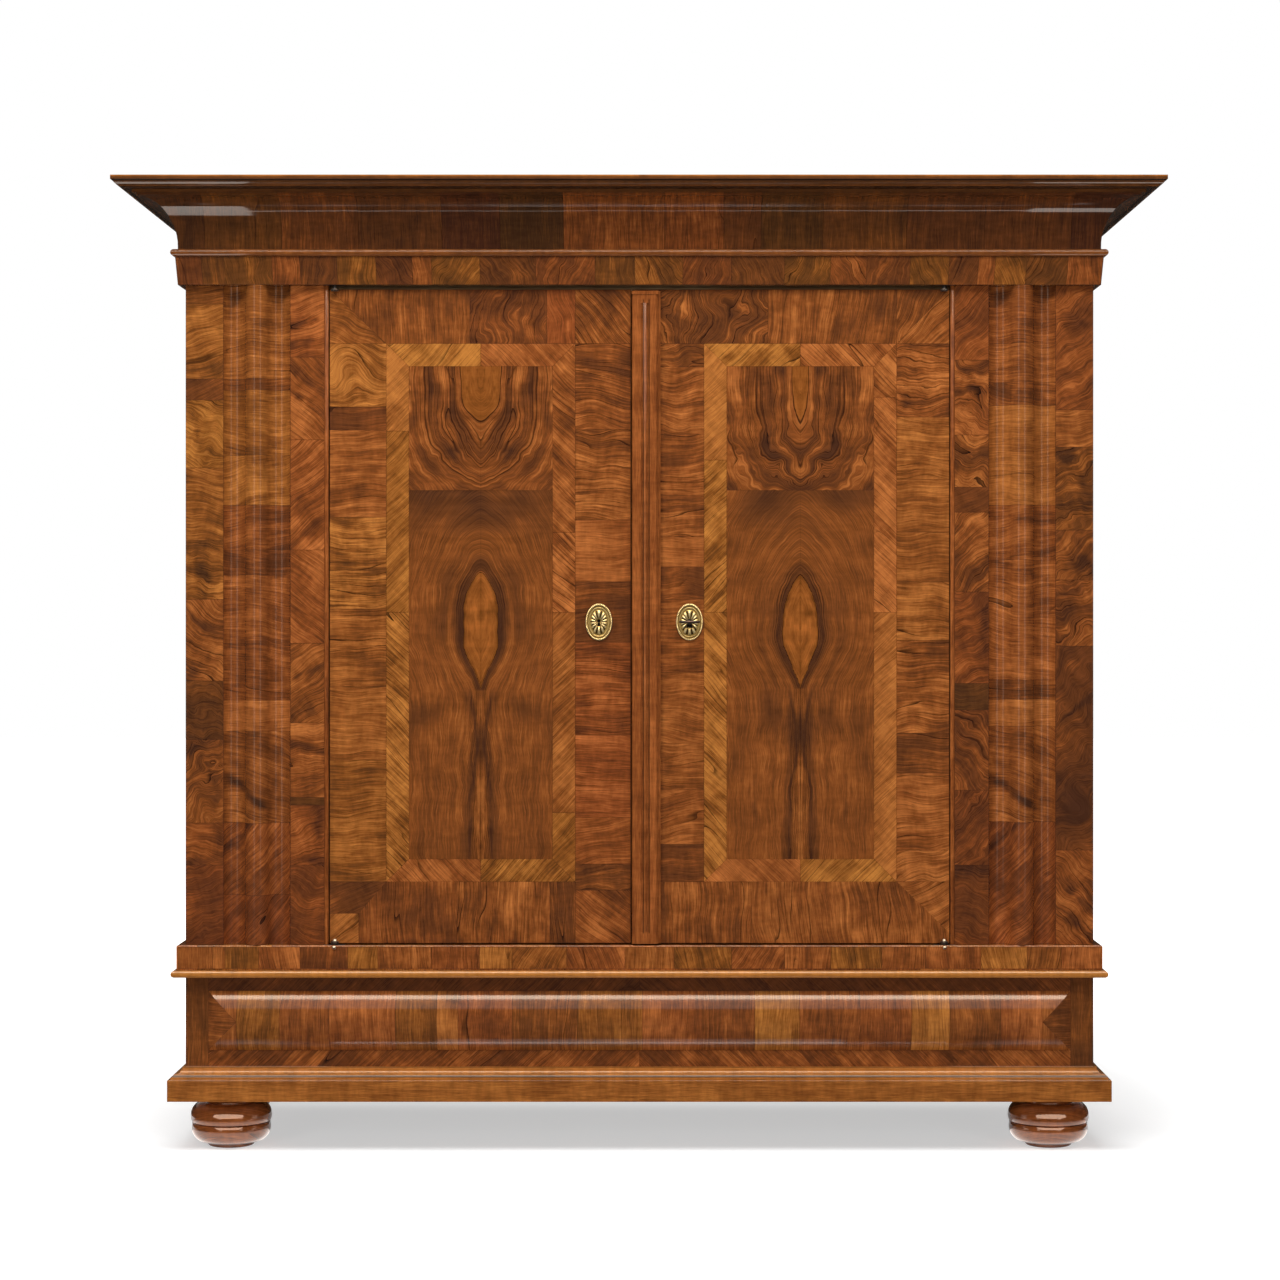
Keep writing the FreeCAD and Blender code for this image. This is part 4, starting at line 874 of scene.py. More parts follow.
inner_leaves = {
    "left": [
        (post_head, 1.643, 0.04, 0.7, 0.5, 0.006, 12, 0.001,
         ((-0.69, 1.715, 0.05, 0.006, 0.5, 0.3), (-0.69, 1.675, 0.05, 0.010, 0.4, 0.2))),
        (1.643, 1.472, 0.04, 0.5, 0.6, 0.004, -38, 0,
         ((-0.69, 1.60, 0.06, 0.012, 0.4, -0.8), (-0.69, 1.55, 0.06, 0.008, 0.4, -0.8))),
        (1.472, 1.244, 0.06, 0.6, 0.5, 0.004, 38, 0,
         ((-0.68, 1.37, 0.05, 0.012, 0.35, 0.7), (-0.69, 1.28, 0.05, 0.014, 0.4, 0.7))),
        (1.244, 1.051, 0.04, 0.6, 0.5, 0.004, -36, 0, ((-0.69, 1.18, 0.05, 0.012, 0.3, -0.7),)),
        (1.051, 0.886, -0.02, 0.3, 0.6, 0.006, 36, 0.002,
         ((-0.69, 0.99, 0.06, 0.008, 0.6, 0.5), (-0.70, 0.90, 0.04, 0.012, 0.5, 0.6))),
        (0.886, 0.732, 0.00, 0.4, 0.7, 0.008, 4, 0.004,
         ((-0.69, 0.835, 0.06, 0.008, 0.6, -0.2), (-0.69, 0.875, 0.05, 0.02, -0.2, 0))),
        (0.732, 0.716, -0.55, 0.1, 0.2, 0.002, 0, 0, ()),
        (0.716, 0.592, -0.04, 0.7, 0.4, 0.010, 20, 0.004,
         ((-0.665, 0.68, 0.012, 0.05, 0.6, 0), (-0.68, 0.60, 0.05, 0.012, 0.6, 0))),
        (0.592, post_foot, -0.22, 0.7, 0.5, 0.012, -20, 0.005, ())],
    "right": [
        (post_head, 1.637, -0.10, 0.7, 0.4, 0.006, 46, 0.002, ()),
        (1.637, 1.482, -0.06, 0.5, 1.0, 0.020, -20, 0.008,
         ((0.68, 1.61, 0.02, 0.012, 0.5, -0.6), (0.69, 1.58, 0.05, 0.008, 0.5, -0.2))),
        (1.482, 1.374, -0.06, 0.3, 1.3, 0.018, -12, 0.006, ()),
        (1.374, 1.322, -0.26, 0.4, 0.3, 0.004, 25, 0, ()),
        (1.322, 1.157, -0.04, 0.4, 0.8, 0.012, 40, 0.003,
         ((0.69, 1.305, 0.06, 0.010, -0.3, 0), (0.70, 1.21, 0.04, 0.03, 0.3, 0.6))),
        (1.157, 0.968, -0.14, 0.7, 0.5, 0.012, 24, 0.005,
         ((0.715, 1.08, 0.010, 0.06, 0.4, 0), (0.68, 1.05, 0.03, 0.010, 0.4, 0.4))),
        (0.968, 0.913, -0.55, 0.1, 0.4, 0.010, 4, 0.003, ()),
        (0.913, 0.747, -0.24, 0.5, 0.9, 0.010, -44, 0.005,
         ((0.69, 0.90, 0.05, 0.014, 0.4, -0.3),)),
        (0.747, 0.592, -0.20, 0.7, 0.8, 0.012, 46, 0.006, ()),
        (0.592, post_foot, -0.26, 0.6, 0.5, 0.014, -14, 0.006,
         ((0.69, 0.582, 0.05, 0.012, 0.6, 0),))]}
for side, left in (("left", -0.7225), ("right", 0.652)):
    sheet = Leaves(face=post_face)
    pile(sheet, left, left + inner_width, inner_leaves[side], 0.05)
    on_case(sheet, "inner_strip_veneer_" + side)

pilaster_left_edge, pilaster_width, wave_rise = 0.7225, 0.1385, 0.017
wave_third = pilaster_width / 3
wave_radius = (wave_third ** 2 / 4 + wave_rise ** 2) / (2 * wave_rise)
wave_half_turn = math.asin(wave_third / 2 / wave_radius)
wave_length = 2 * wave_half_turn * wave_radius


def wave_moulding(side):
    """Places on the pilaster's bent face: a hollow, a swelling and a hollow."""
    start = pilaster_left_edge if side == "right" else -pilaster_left_edge - pilaster_width

    def place(a, b, lift):
        along = min(max(a, 0.0), 3 * wave_length - 1e-9)
        third = int(along / wave_length)
        angle = (along - third * wave_length) / wave_radius - wave_half_turn
        way = 1.0 if third == 1 else -1.0
        x = start + (third + 0.5) * wave_third + wave_radius * math.sin(angle)
        y = post_face - way * (wave_radius * math.cos(angle) - wave_radius + wave_rise)
        return (x + lift * way * math.sin(angle), y - lift * math.cos(angle), b)

    return place


pilaster_leaves = {
    "left": [
        (post_head, 1.598, 0.00, 0.2, 0.4, 0.006, 2, 0, ((0.03, 1.77, 0.02, 0.03, 0.3, 0),)),
        (1.598, 1.575, -0.20, 0.3, 0.5, 0.003, 1, 0, ()),
        (1.575, 1.440, 0.02, 0.1, 0.4, 0.006, -3, 0, ()),
        (1.440, 1.337, 0.10, 0.1, 0.3, 0.010, 10, 0, ((0.09, 1.35, 0.10, 0.007, 0.3, 0.25),)),
        (1.337, 1.244, -0.08, 0.5, 0.6, 0.006, 4, 0, ()),
        (1.244, 1.192, -0.22, 0.5, 0.5, 0.006, -6, 0, ((0.08, 1.225, 0.1, 0.006, 0.3, -0.1),)),
        (1.192, 0.933, -0.04, 0.5, 0.5, 0.010, -4, 0, ((0.08, 1.05, 0.1, 0.010, 0.3, 0.1),)),
        (0.933, 0.869, 0.14, 0.4, 0.2, 0.003, 0, 0, ()),
        (0.869, 0.679, -0.04, 0.3, 0.5, 0.008, -14, 0,
         ((0.065, 0.742, 0.06, 0.008, 0.7, -0.62), (0.02, 0.71, 0.03, 0.03, -0.2, 0))),
        (0.679, 0.530, -0.04, 0.7, 0.6, 0.010, 42, 0.002,
         ((0.045, 0.655, 0.06, 0.009, 0.7, 0.75),)),
        (0.530, post_foot, -0.14, 0.9, 0.5, 0.008, 44, 0.002, ())],
    "right": [
        (post_head, 1.672, -0.08, 0.5, 0.4, 0.006, 2, 0, ((0.03, 1.77, 0.03, 0.02, 0.3, 0),)),
        (1.672, 1.592, 0.00, 0.4, 0.4, 0.006, 0, 0, ()),
        (1.592, 1.544, -0.14, 0.4, 0.8, 0.008, -6, 0, ((0.08, 1.57, 0.1, 0.006, 0.3, -0.2),)),
        (1.544, 1.337, 0.12, 0.2, 0.2, 0.006, 0, 0, ()),
        (1.337, 1.223, -0.02, 0.5, 0.5, 0.006, 3, 0, ((0.08, 1.31, 0.1, 0.006, 0.3, -0.1),)),
        (1.223, 0.975, 0.04, 0.5, 0.4, 0.010, -5, 0, ((0.08, 1.205, 0.1, 0.008, 0.4, -0.3),)),
        (0.975, 0.935, -0.10, 0.4, 0.6, 0.004, 0, 0, ()),
        (0.935, 0.879, 0.14, 0.3, 0.2, 0.003, 0, 0, ()),
        (0.879, 0.681, 0.00, 0.4, 0.5, 0.008, -14, 0,
         ((0.08, 0.735, 0.07, 0.008, 0.7, -0.55), (0.03, 0.71, 0.03, 0.03, -0.2, 0))),
        (0.681, post_foot, -0.12, 0.8, 0.6, 0.012, 44, 0.002,
         ((0.05, 0.655, 0.06, 0.009, 0.6, 0.70),))]}
for side in ("left", "right"):
    sheet = Leaves(place=wave_moulding(side), step=0.005)
    pile(sheet, 0.0, 3 * wave_length, pilaster_leaves[side], 0.09)
    on_case(sheet, "pilaster_veneer_" + side, soft_veneer_walnut, True)


# Base facings: the cushion is one long convex panel with hipped ends, mitred at
# the corners, and the frame above it a flat facing, both in upright leaves.
cushion_half, cushion_low, cushion_high, cushion_rise = 0.892, 0.209, 0.332, 0.025
cushion_mid = (cushion_low + cushion_high) / 2
cushion_reach = (cushion_high - cushion_low) / 2
cushion_radius = (cushion_reach ** 2 + cushion_rise ** 2) / (2 * cushion_rise)


def on_cushion(a, b, lift):
    """Places on the cushion, which falls to all four edges on one curve."""
    inward = max(0.0, min(cushion_half - abs(a), cushion_reach - abs(b - cushion_mid)))
    short = cushion_reach - min(inward, cushion_reach)
    rise = math.sqrt(cushion_radius ** 2 - short ** 2) - cushion_radius + cushion_rise
    return (a, post_face - rise - lift, b)


def side_by_side(sheet, marks, low, high, seed, vein=0.4, wave=0.004, warm=0.3, **rest):
    """Upright leaves one beside another: marks are (left edge, light, angle, wildness),
    and the last one only gives the right-hand end."""
    for k, (left, light, angle, wild) in enumerate(marks[:-1]):
        right = marks[k + 1][0]
        sheet.lay(four(left, right, low, high),
                  plain_leaf(angle, seed + k * 1.3, light, warm + 0.3 * math.sin(k * 1.9 + seed),
                             vein, wave, wild=wild, **rest))


cushion = Leaves(place=on_cushion, step=0.0055)
hip = cushion_half - cushion_reach
for way in (-1, 1):
    tip, corner, middle = way * hip, way * cushion_half, way * (cushion_half + hip) / 2
    flat = plain_leaf(0, 71 + way, -0.16, 0.3, 0.5, 0.004)
    upright = plain_leaf(90, 74 + way, -0.02, 0.3, 0.4, 0.004)
    quarter = cushion_reach / 2
    end = [(corner, cushion_low), (tip, cushion_mid), (corner, cushion_high),
           (corner, cushion_mid)]
    foot = [(corner, cushion_low), (tip, cushion_low), (tip, cushion_mid),
            (middle, cushion_low + quarter)]
    head = [(tip, cushion_mid), (tip, cushion_high), (corner, cushion_high),
            (middle, cushion_high - quarter)]
    for shape, leaf in ((end, flat), (foot, upright), (head, upright)):
        cushion.lay(shape if way < 0 else shape[::-1], leaf, 0.2)
side_by_side(cushion, [
    (-hip, 0.06, 90, 0), (-0.742, -0.02, 88, 0), (-0.640, 0.08, 91, 0), (-0.503, -0.08, 90, 0),
    (-0.418, 0.10, 92, 0), (-0.374, 0.00, 90, 0.001), (-0.262, -0.10, 88, 0),
    (-0.128, -0.04, 90, 0), (0.006, 0.06, 92, 0), (0.131, -0.04, 90, 0.001),
    (0.238, 0.10, 90, 0), (0.330, -0.06, 88, 0), (0.455, 0.04, 91, 0), (0.561, 0.12, 90, 0),
    (0.640, -0.04, 90, 0), (0.745, 0.06, 89, 0), (hip, 0, 0, 0)],
    cushion_low, cushion_high, 80.0)
on_case(cushion, "cushion_panel", soft_veneer_walnut, True)
dress("base_cushion", solid_under_veneer, 0)

ground_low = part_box("base_moulding")[1][2]
ground_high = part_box("base_bead")[0][2]
ground = Leaves(face=post_face)
for way in (-1, 1):
    stile = sorted((way * case_half_width, way * cushion_half))
    ground.lay(four(*stile, ground_low, ground_high),
               plain_leaf(90, 60 + way, -0.26, 0.2, 0.3, 0.003), 0.2)
    # The rail above the cushion is set much darker than the one below, partly as painted shade
    # under the bead and frame that overhang it.
    for low, high, shade, vein, joints in (
            (ground_low, cushion_low, -0.08, 0.6,
             (0.892, 0.715, 0.640, 0.520, 0.395, 0.330, 0.205, 0.118, 0.0)),
            (cushion_high, ground_high, -0.42, 0.4, (0.892, 0.560, 0.250, 0.0))):
        skew = (high - low) * 0.8
        for k, (outer, inner) in enumerate(zip(joints, joints[1:])):
            foot_outer = outer + (skew if k else 0)
            foot_inner = inner + (skew if inner else 0)
            shape = [(-foot_outer, low), (-foot_inner, low), (-inner, high), (-outer, high)]
            if way > 0:
                shape = [(-x, z) for x, z in (shape[1], shape[0], shape[3], shape[2])]
            light = shade + 0.13 * math.sin(k * 2.4 + way)
            ground.lay(shape, plain_leaf(-44 * way, 62 + k * 1.1 + way * 0.5 + low * 9, light,
                                         0.4, vein, 0.003, 0.08), 0.25)
on_case(ground, "base_ground_facing")

frame_face, frame_half, frame_low, frame_high = -0.276, 0.9525, 0.3795, 0.4242
frame_facing = Leaves(face=frame_face)
side_by_side(frame_facing, [
    (-frame_half, 0.02, 90, 0.001), (-0.855, -0.06, 92, 0), (-0.786, 0.08, 100, 0),
    (-0.700, -0.10, 90, 0.002), (-0.602, 0.06, 84, 0), (-0.540, 0.00, 96, 0),
    (-0.430, -0.08, 90, 0.002), (-0.330, 0.12, 90, 0), (-0.262, -0.04, 60, 0.002),
    (-0.150, 0.06, 118, 0), (-0.030, 0.10, 90, 0), (0.072, -0.10, 110, 0.002),
    (0.190, 0.02, 62, 0.002), (0.300, 0.08, 90, 0), (0.395, -0.06, 96, 0.001),
    (0.500, 0.06, 84, 0), (0.590, -0.02, 90, 0.002), (0.705, 0.08, 100, 0),
    (0.800, -0.06, 88, 0.001), (0.870, 0.02, 90, 0), (frame_half, 0, 0, 0)],
    frame_low, frame_high, 110.0, 0.6, 0.006, 0.3)
on_case(frame_facing, "base_frame_facing")
# The base bead is set far paler than the cornice bead, partly as a painted highlight, since it
# lies open to the light from above.
dress("base_bead", long_walnut("base_bead_walnut", (0.46, 0.0, 0.1), contrast=0.5), 0)
dress("base_frame", run_of_leaves("base_frame_walnut", Leaves=12.0, Seed=17.0, Light=0.06,
                                  Warm=0.3, Vein=0.3, Variety=0.35), 0)


# Doors: softwood cores faced with a crossbanded border, a herringbone feather band
# and a quartered, book-matched centre cut from the crotch of a walnut tree.
door_face, door_veneer = case_front, 0.002
door_foot, door_head = 0.4305, 1.783
top_band, bottom_band, feather = 0.112, 0.127, 0.047
seam_height, slope_change = 1.3675, 1.115


def door_leaves(step=0.006):
    """An empty sheet of leaves as thick as the veneer on a door's core."""
    return Leaves(face=door_face + door_veneer, depth=door_veneer, step=step)


def hump(distance, width):
    """A soft swelling: 1 where distance is 0, and falling away over width."""
    return math.exp(-(distance / width) ** 2)


def tulip(seam, head, foot, seed, mouth, ragged, dark):
    """The upper centre: nested pointed hollows round a pale shield, that narrow towards
    the joint and spread their feet there. mouth is the shield's half width."""
    depths = ((0.0, 0.03), (mouth, 0.112), (mouth + 0.014, 0.176), (mouth + 0.030, 0.214),
              (0.115, 0.246), (0.150, 0.275), (0.40, 0.60))

    def depth_at(width):
        for (w0, d0), (w1, d1) in zip(depths, depths[1:]):
            if width <= w1:
                return d0 + (d1 - d0) * (width - w0) / (w1 - w0)
        return depths[-1][1]

    def field(x, z):
        u = abs(x - seam)
        fall = head - z
        low_down = max(0.0, min(1.0, (fall - 0.06) / 0.12))
        from_seam = min(1.0, u / 0.02)
        bend_u = u + (0.003 + 0.010 * ragged * low_down) * swirl(u, z, seed, 0.050) * from_seam
        bend_u += 0.005 * ragged * low_down * swirl(u, z, seed + 6, 0.016) * from_seam
        fall += 0.014 * swirl(u, z, seed + 1, 0.055) * low_down
        fall += 0.008 * ragged * swirl(u, z, seed + 2, 0.020) * low_down
        low, high = 0.001, 0.39
        for _ in range(18):
            middle = (low + high) / 2
            reach = (bend_u / middle) ** 1.6 + (max(fall, 0) / depth_at(middle)) ** 3.4
            low, high = (middle, high) if reach > 1 else (low, middle)
        inner = (low + high) / 2 - mouth
        across = inner + (0.026 * (1 - math.exp(-inner / 0.030)) if inner > 0 else 0)
        shade = -0.05 - 0.20 * hump(inner - 0.016, 0.006) + 0.16 * hump(inner - 0.006, 0.005)
        shade += 0.16 * hump(inner - 0.038, 0.008) - 0.18 * hump(inner - 0.062, 0.008)
        shade += 0.12 * hump(inner - 0.084, 0.006)
        shade -= 0.20 * max(0.0, swirl(u, z, seed + 4, 0.040)) * (0.4 + ragged)
        blot = hump(u - 0.060, 0.024) * hump(fall - 0.185, 0.045)
        shade -= (0.30 + dark) * blot * (0.7 + 0.5 * swirl(u, z, seed + 5, 0.020))
        shade -= dark * hump(z - foot, 0.03) * (0.5 + 0.8 * swirl(u, z, seed + 7, 0.035))
        inside = max(0.0, min(1.0, -inner / 0.005))
        shade += inside * (-0.10 + 0.06 * swirl(u, z, seed + 9, 0.03) - shade)
        return (across, z, seed, shade, 0.35, 0.80)

    return field


def flame(seam, head, seed, crown, spring, eye_foot, dark):
    """The lower centre: arches over a pale tall eye whose sides close below it in a
    long pointed vein. crown is the eye's apex, and spring the height it widens to."""
    eye = 0.037
    stems = ((-0.02, 0.030), (0.0, 0.024), (0.035, 0.017), (0.075, 0.010), (0.115, 0.008),
             (0.165, 0.013), (0.215, 0.021), (0.60, 0.026))

    def stem(fall):
        """How far the dark veins below the eye lie from the seam."""
        for (f0, u0), (f1, u1) in zip(stems, stems[1:]):
            if fall <= f1:
                return u0 + (u1 - u0) * max(0.0, fall - f0) / (f1 - f0)
        return stems[-1][1]

    def half_width(z):
        share = (z - eye_foot) / (spring - 0.012 - eye_foot)
        return eye * math.sin(min(1.0, share) * math.pi / 2) ** 1.12 if share > 0 else 0.0

    def field(x, z):
        u = abs(x - seam)
        from_seam = min(1.0, u / 0.015)
        v = z + 0.006 * swirl(u, z, seed + 1, 0.07)
        side = u + 0.0050 * swirl(u, z, seed, 0.06) * from_seam
        side += 0.0014 * swirl(u, z, seed + 2, 0.016) * from_seam
        if v < spring:
            pinch = 0.75 * hump(z - eye_foot + 0.02, 0.06)
            k = side - half_width(v)
            for _ in range(6):
                k = side - half_width(v) + pinch * max(k, 0.0) * math.exp(-max(k, 0.0) / 0.035)
        else:
            low, high = 0.0005 - eye, 0.4
            rise = v - spring
            for _ in range(18):
                middle = (low + high) / 2
                reach = (side / (eye + middle)) ** 1.45
                reach += (rise / (crown - spring + 1.75 * middle)) ** 1.8
                low, high = (middle, high) if reach > 1 else (low, middle)
            k = (low + high) / 2
        away = max(k, 0.0)
        across = k + (0.036 * (1 - math.exp(-k / 0.016)) if k > 0 else 0)
        near = hump(away - 0.005, 0.012)
        level = hump(z - crown + 0.10, 0.090)
        above = max(0.0, min(1.0, (z - crown + 0.02) / 0.06))
        shade = -0.07 + 0.06 * swirl(u, z, seed + 4, 0.13) + 0.03 * swirl(u, z, seed + 8, 0.05)
        if z > eye_foot:
            shade -= near * (0.34 + 0.30 * level)
            shade += 0.10 * hump(away - 0.030, 0.007) * level
            shade -= 0.16 * hump(away - 0.046, 0.008) * level
        smudge = hump(x - seam - 0.5 * eye, 0.016) * hump(z - spring - 0.012, 0.008)
        inside = max(0.0, min(1.0, -k / 0.006))
        core = 0.08 + 0.22 * swirl(x, z, seed + 11, 0.03) - 0.24 * hump(u, 0.0022)
        shade += inside * (core - 0.5 * smudge - shade)
        under = max(0.0, min(1.0, (eye_foot + 0.012 - z) / 0.03))
        line = stem(eye_foot - z) + 0.0020 * swirl(x, z, seed + 3, 0.05)
        waist = hump(eye_foot - z - 0.105, 0.050)
        shade -= under * 0.50 * hump(u - line, 0.0036)
        shade -= under * 0.22 * hump(u - line - 0.010, 0.0040)
        shade -= under * waist * 0.34 * hump(u, 0.012)
        shade += under * (1 - waist) * 0.24 * hump(u, 0.005)
        belt = hump(z - eye_foot + 0.045, 0.035)
        shade -= 0.16 * belt * (0.6 + swirl(x, z, seed + 12, 0.06))
        cloud = hump(head - z, 0.070)
        shade -= dark * cloud * (0.8 + 0.9 * swirl(x, z, seed + 5, 0.075))
        vein = 0.04 + 0.85 * hump(away - 0.004, 0.020) * (1 - 0.6 * above)
        vein += 0.35 * under * hump(u, 0.04) - 0.22 * above
        return (across if k < 0 else max(across, 0.0002), z * 0.8, seed, shade, 0.25, vein)

    return field


def centre(name, left, right, low, high, upper, lower):
    """The quartered centre of a door, as four leaves."""
    seam = (left + right) / 2
    sheet = door_leaves(0.004)
    for a, b in ((left, seam), (seam, right)):
        sheet.lay(four(a, b, low, seam_height), flame(seam, seam_height, *lower), 0.16)
        sheet.lay(four(a, b, seam_height, high), tulip(seam, high, seam_height, *upper), 0.16)
    return sheet.piece(name, veneer_walnut, False)


def feather_band(name, left, right, low, high, cuts, seed, tone):
    """Herringbone strips round the centre, mitred at the corners. The upright strips
    change slope at one height, and cuts lists where each of them is pieced."""
    sheet = door_leaves()

    def strip(angle, number, light):
        streaky = 0.75 + 0.5 * math.sin(number * 5.1 + seed)
        return plain_leaf(angle, seed + number, light, 0.2 + 0.3 * math.sin(number * 3.3),
                          streaky, 0.0035, 0.10)

    for x0, x1, slopes, number, joints in ((left, left + feather, (45, -45), 1, cuts[0]),
                                           (right - feather, right, (-45, 45), 4, cuts[1])):
        mitre_left, mitre_right = (0, feather) if x0 == left else (feather, 0)
        heights = sorted([high, low, *joints], reverse=True)
        for k, (top, foot) in enumerate(zip(heights, heights[1:])):
            angle = slopes[0] if foot >= slope_change - 0.001 else slopes[1]
            first, last = top == high, foot == low
            light = tone + 0.10 * math.sin(k * 2.7 + number)
            sheet.lay([(x0, foot + mitre_left * last), (x1, foot + mitre_right * last),
                       (x1, top - mitre_right * first), (x0, top - mitre_left * first)],
                      strip(angle, number + k * 0.37, light))
    middle = (left + right) / 2
    for z0, z1, slopes, number, end in ((high - feather, high, (45, -45), 9, "head"),
                                        (low, low + feather, (-45, 45), 12, "foot")):
        inset_low, inset_high = (feather, 0) if end == "head" else (0, feather)
        light = tone + 0.02 + 0.05 * (end == "head")
        sheet.lay([(left + inset_low, z0), (middle, z0), (middle, z1), (left + inset_high, z1)],
                  strip(slopes[0], number, light))
        sheet.lay([(middle, z0), (right - inset_low, z0), (right - inset_high, z1), (middle, z1)],
                  strip(slopes[1], number + 1, light - 0.07))
    return sheet.piece(name, veneer_walnut, False)


def on_door(piece, side):
    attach(piece, side + "_door")
    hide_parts("door_veneer_" + side)


feather_low, feather_high = door_foot + bottom_band, door_head - top_band

# left-hand door
west, east = -0.641, -0.018
inner_west, inner_east = west + 0.117, east - 0.115
border = door_leaves()
border.lay([(west, feather_high), (inner_west, feather_high),
            (west + 0.0012, door_head - 0.00115), (west, door_head)],
           plain_leaf(-25, 3, -0.02, 0.2, 0.7, 0.010, 0.06))
pile(border, west, inner_west, [
    (1.671, 1.540, 0.12, 0.1, 0.8, 0.034, 0, 0.003, ()),
    (1.540, 1.492, -0.26, 0.4, 0.3, 0.003, 0, 0, ()),
    (1.492, 1.312, 0.04, 0.3, 0.5, 0.007, 3, 0, ()),
    (1.312, 1.122, 0.12, 0.1, 1.1, 0.008, 0, 0.001, ()),
    (1.122, 0.961, 0.00, 0.2, 0.7, 0.007, 2, 0, ()),
    (0.961, 0.809, 0.04, 0.2, 0.5, 0.007, -2, 0, ()),
    (0.809, feather_low, 0.02, 0.1, 0.7, 0.008, 3, 0, ())])
border.lay([(west, 0.492), (-0.581, 0.492), (inner_west, feather_low), (west, feather_low)],
           plain_leaf(24, 5, -0.22, 0.3, 0.3, 0.004, 0.07))
border.lay([(west, door_foot), (-0.581, door_foot), (-0.581, 0.492), (west, 0.492)],
           plain_leaf(40, 6, 0.12, 0.2, 0.5, 0.006, 0.05))
border.lay([(inner_west, feather_high), (-0.351, feather_high), (-0.351, door_head),
            (west, door_head)], plain_leaf(88, 7, -0.10, 0.3, 0.6, 0.006, 0.10))
border.lay(four(-0.351, -0.192, feather_high, door_head),
           plain_leaf(82, 9, -0.24, 0.5, 0.9, 0.014, 0.05, 0.006))
border.lay(four(-0.192, inner_east, feather_high, door_head),
           plain_leaf(100, 11, 0.00, 0.9, 0.4, 0.006, 0.05, 0.002))
border.lay(four(inner_east, east, feather_high, door_head),
           plain_leaf(128, 13, -0.06, 0.3, 0.9, 0.006, 0.08))
pile(border, inner_east, east, [
    (feather_high, 1.493, -0.16, 0.4, 0.9, 0.008, -3, 0, ()),
    (1.493, 1.306, 0.00, 0.3, 0.9, 0.010, -3, 0.001, ()),
    (1.306, 1.178, 0.10, 0.5, 0.2, 0.003, 0, 0, ()),
    (1.178, 1.053, -0.26, 0.4, 0.5, 0.005, 3, 0, ()),
    (1.053, 0.861, -0.10, 0.8, 0.7, 0.005, 0, 0, ()),
    (0.861, 0.691, 0.02, 0.9, 0.4, 0.005, -4, 0, ()),
    (0.691, 0.594, 0.02, 0.6, 0.4, 0.008, 8, 0, ()),
    (0.594, 0.540, -0.36, 0.3, 0.8, 0.010, 5, 0.003, ())])
border.lay([(inner_east, door_foot), (east, door_foot), (east, 0.540), (inner_east, 0.540)],
           plain_leaf(-35, 15, -0.04, 0.5, 0.8, 0.009, 0.06))
foot_leaf = plain_leaf(92, 17, -0.12, 0.4, 0.6, 0.005, 0.08)
border.lay([(-0.581, door_foot), (inner_west, door_foot), (inner_west, feather_low),
            (-0.581, 0.492)], foot_leaf, 0)
border.lay(four(inner_west, -0.378, door_foot, feather_low), foot_leaf, 0)
border.lay(four(-0.378, -0.185, door_foot, feather_low),
           plain_leaf(88, 19, 0.00, 0.3, 0.8, 0.004, 0.08))
border.lay(four(-0.185, inner_east, door_foot, feather_low),
           plain_leaf(94, 21, -0.30, 0.3, 0.9, 0.006, 0.06))
on_door(border.piece("border_left", veneer_walnut, False), "left")
on_door(feather_band("feather_band_left", inner_west, inner_east, feather_low, feather_high,
                     ((slope_change, 1.49), (slope_change, 1.28, 0.70)), 30, 0.10), "left")
on_door(centre("centre_left", inner_west + feather, inner_east - feather,
               feather_low + feather, feather_high - feather,
               (31.0, 0.042, 0.5, 0.10), (33.0, 1.200, 1.105, 0.953, 0.38)), "left")

# right-hand door
west, east = -0.0145, 0.641
inner_west, inner_east = west + 0.148, east - 0.109
border = door_leaves()
border.lay(four(west, inner_west, 1.623, feather_high),
           plain_leaf(30, 41, -0.10, 0.3, 1.0, 0.030, 0.06, 0.004))
pile(border, west, inner_west, [
    (1.623, 1.484, -0.02, 0.4, 0.8, 0.010, 0, 0.002, ()),
    (1.484, 1.271, 0.06, 0.4, 0.8, 0.008, 3, 0, ()),
    (1.271, 1.209, 0.14, 0.4, 0.1, 0.003, 0, 0, ()),
    (1.209, 1.142, -0.20, 0.4, 0.7, 0.008, 5, 0.002, ()),
    (1.142, 0.991, -0.16, 0.4, 0.7, 0.006, 4, 0, ()),
    (0.991, 0.844, 0.08, 0.3, 0.6, 0.010, -8, 0, ()),
    (0.844, 0.749, -0.02, 0.3, 0.6, 0.008, 0, 0, ()),
    (0.749, 0.635, 0.04, 0.4, 0.5, 0.009, 5, 0, ()),
    (0.635, feather_low, -0.26, 0.4, 0.6, 0.008, 0, 0.002, ())])
border.lay(four(west, 0.266, feather_high, door_head),
           plain_leaf(70, 43, -0.24, 0.3, 1.0, 0.036, 0.07, 0.006))
border.lay(four(0.266, inner_east, feather_high, door_head),
           plain_leaf(84, 45, -0.06, 0.3, 0.7, 0.008, 0.09))
border.lay([(inner_east, feather_high), (inner_east + 0.00109, feather_high + 0.00112),
            (east, door_head), (inner_east, door_head)],
           plain_leaf(70, 47, -0.08, 0.3, 0.8, 0.008, 0.06))
border.lay([(inner_east, feather_high), (east, feather_high), (east, door_head),
            (east - 0.00109, door_head - 0.00112)],
           plain_leaf(45, 48, 0.06, 0.3, 0.7, 0.010, 0.06))
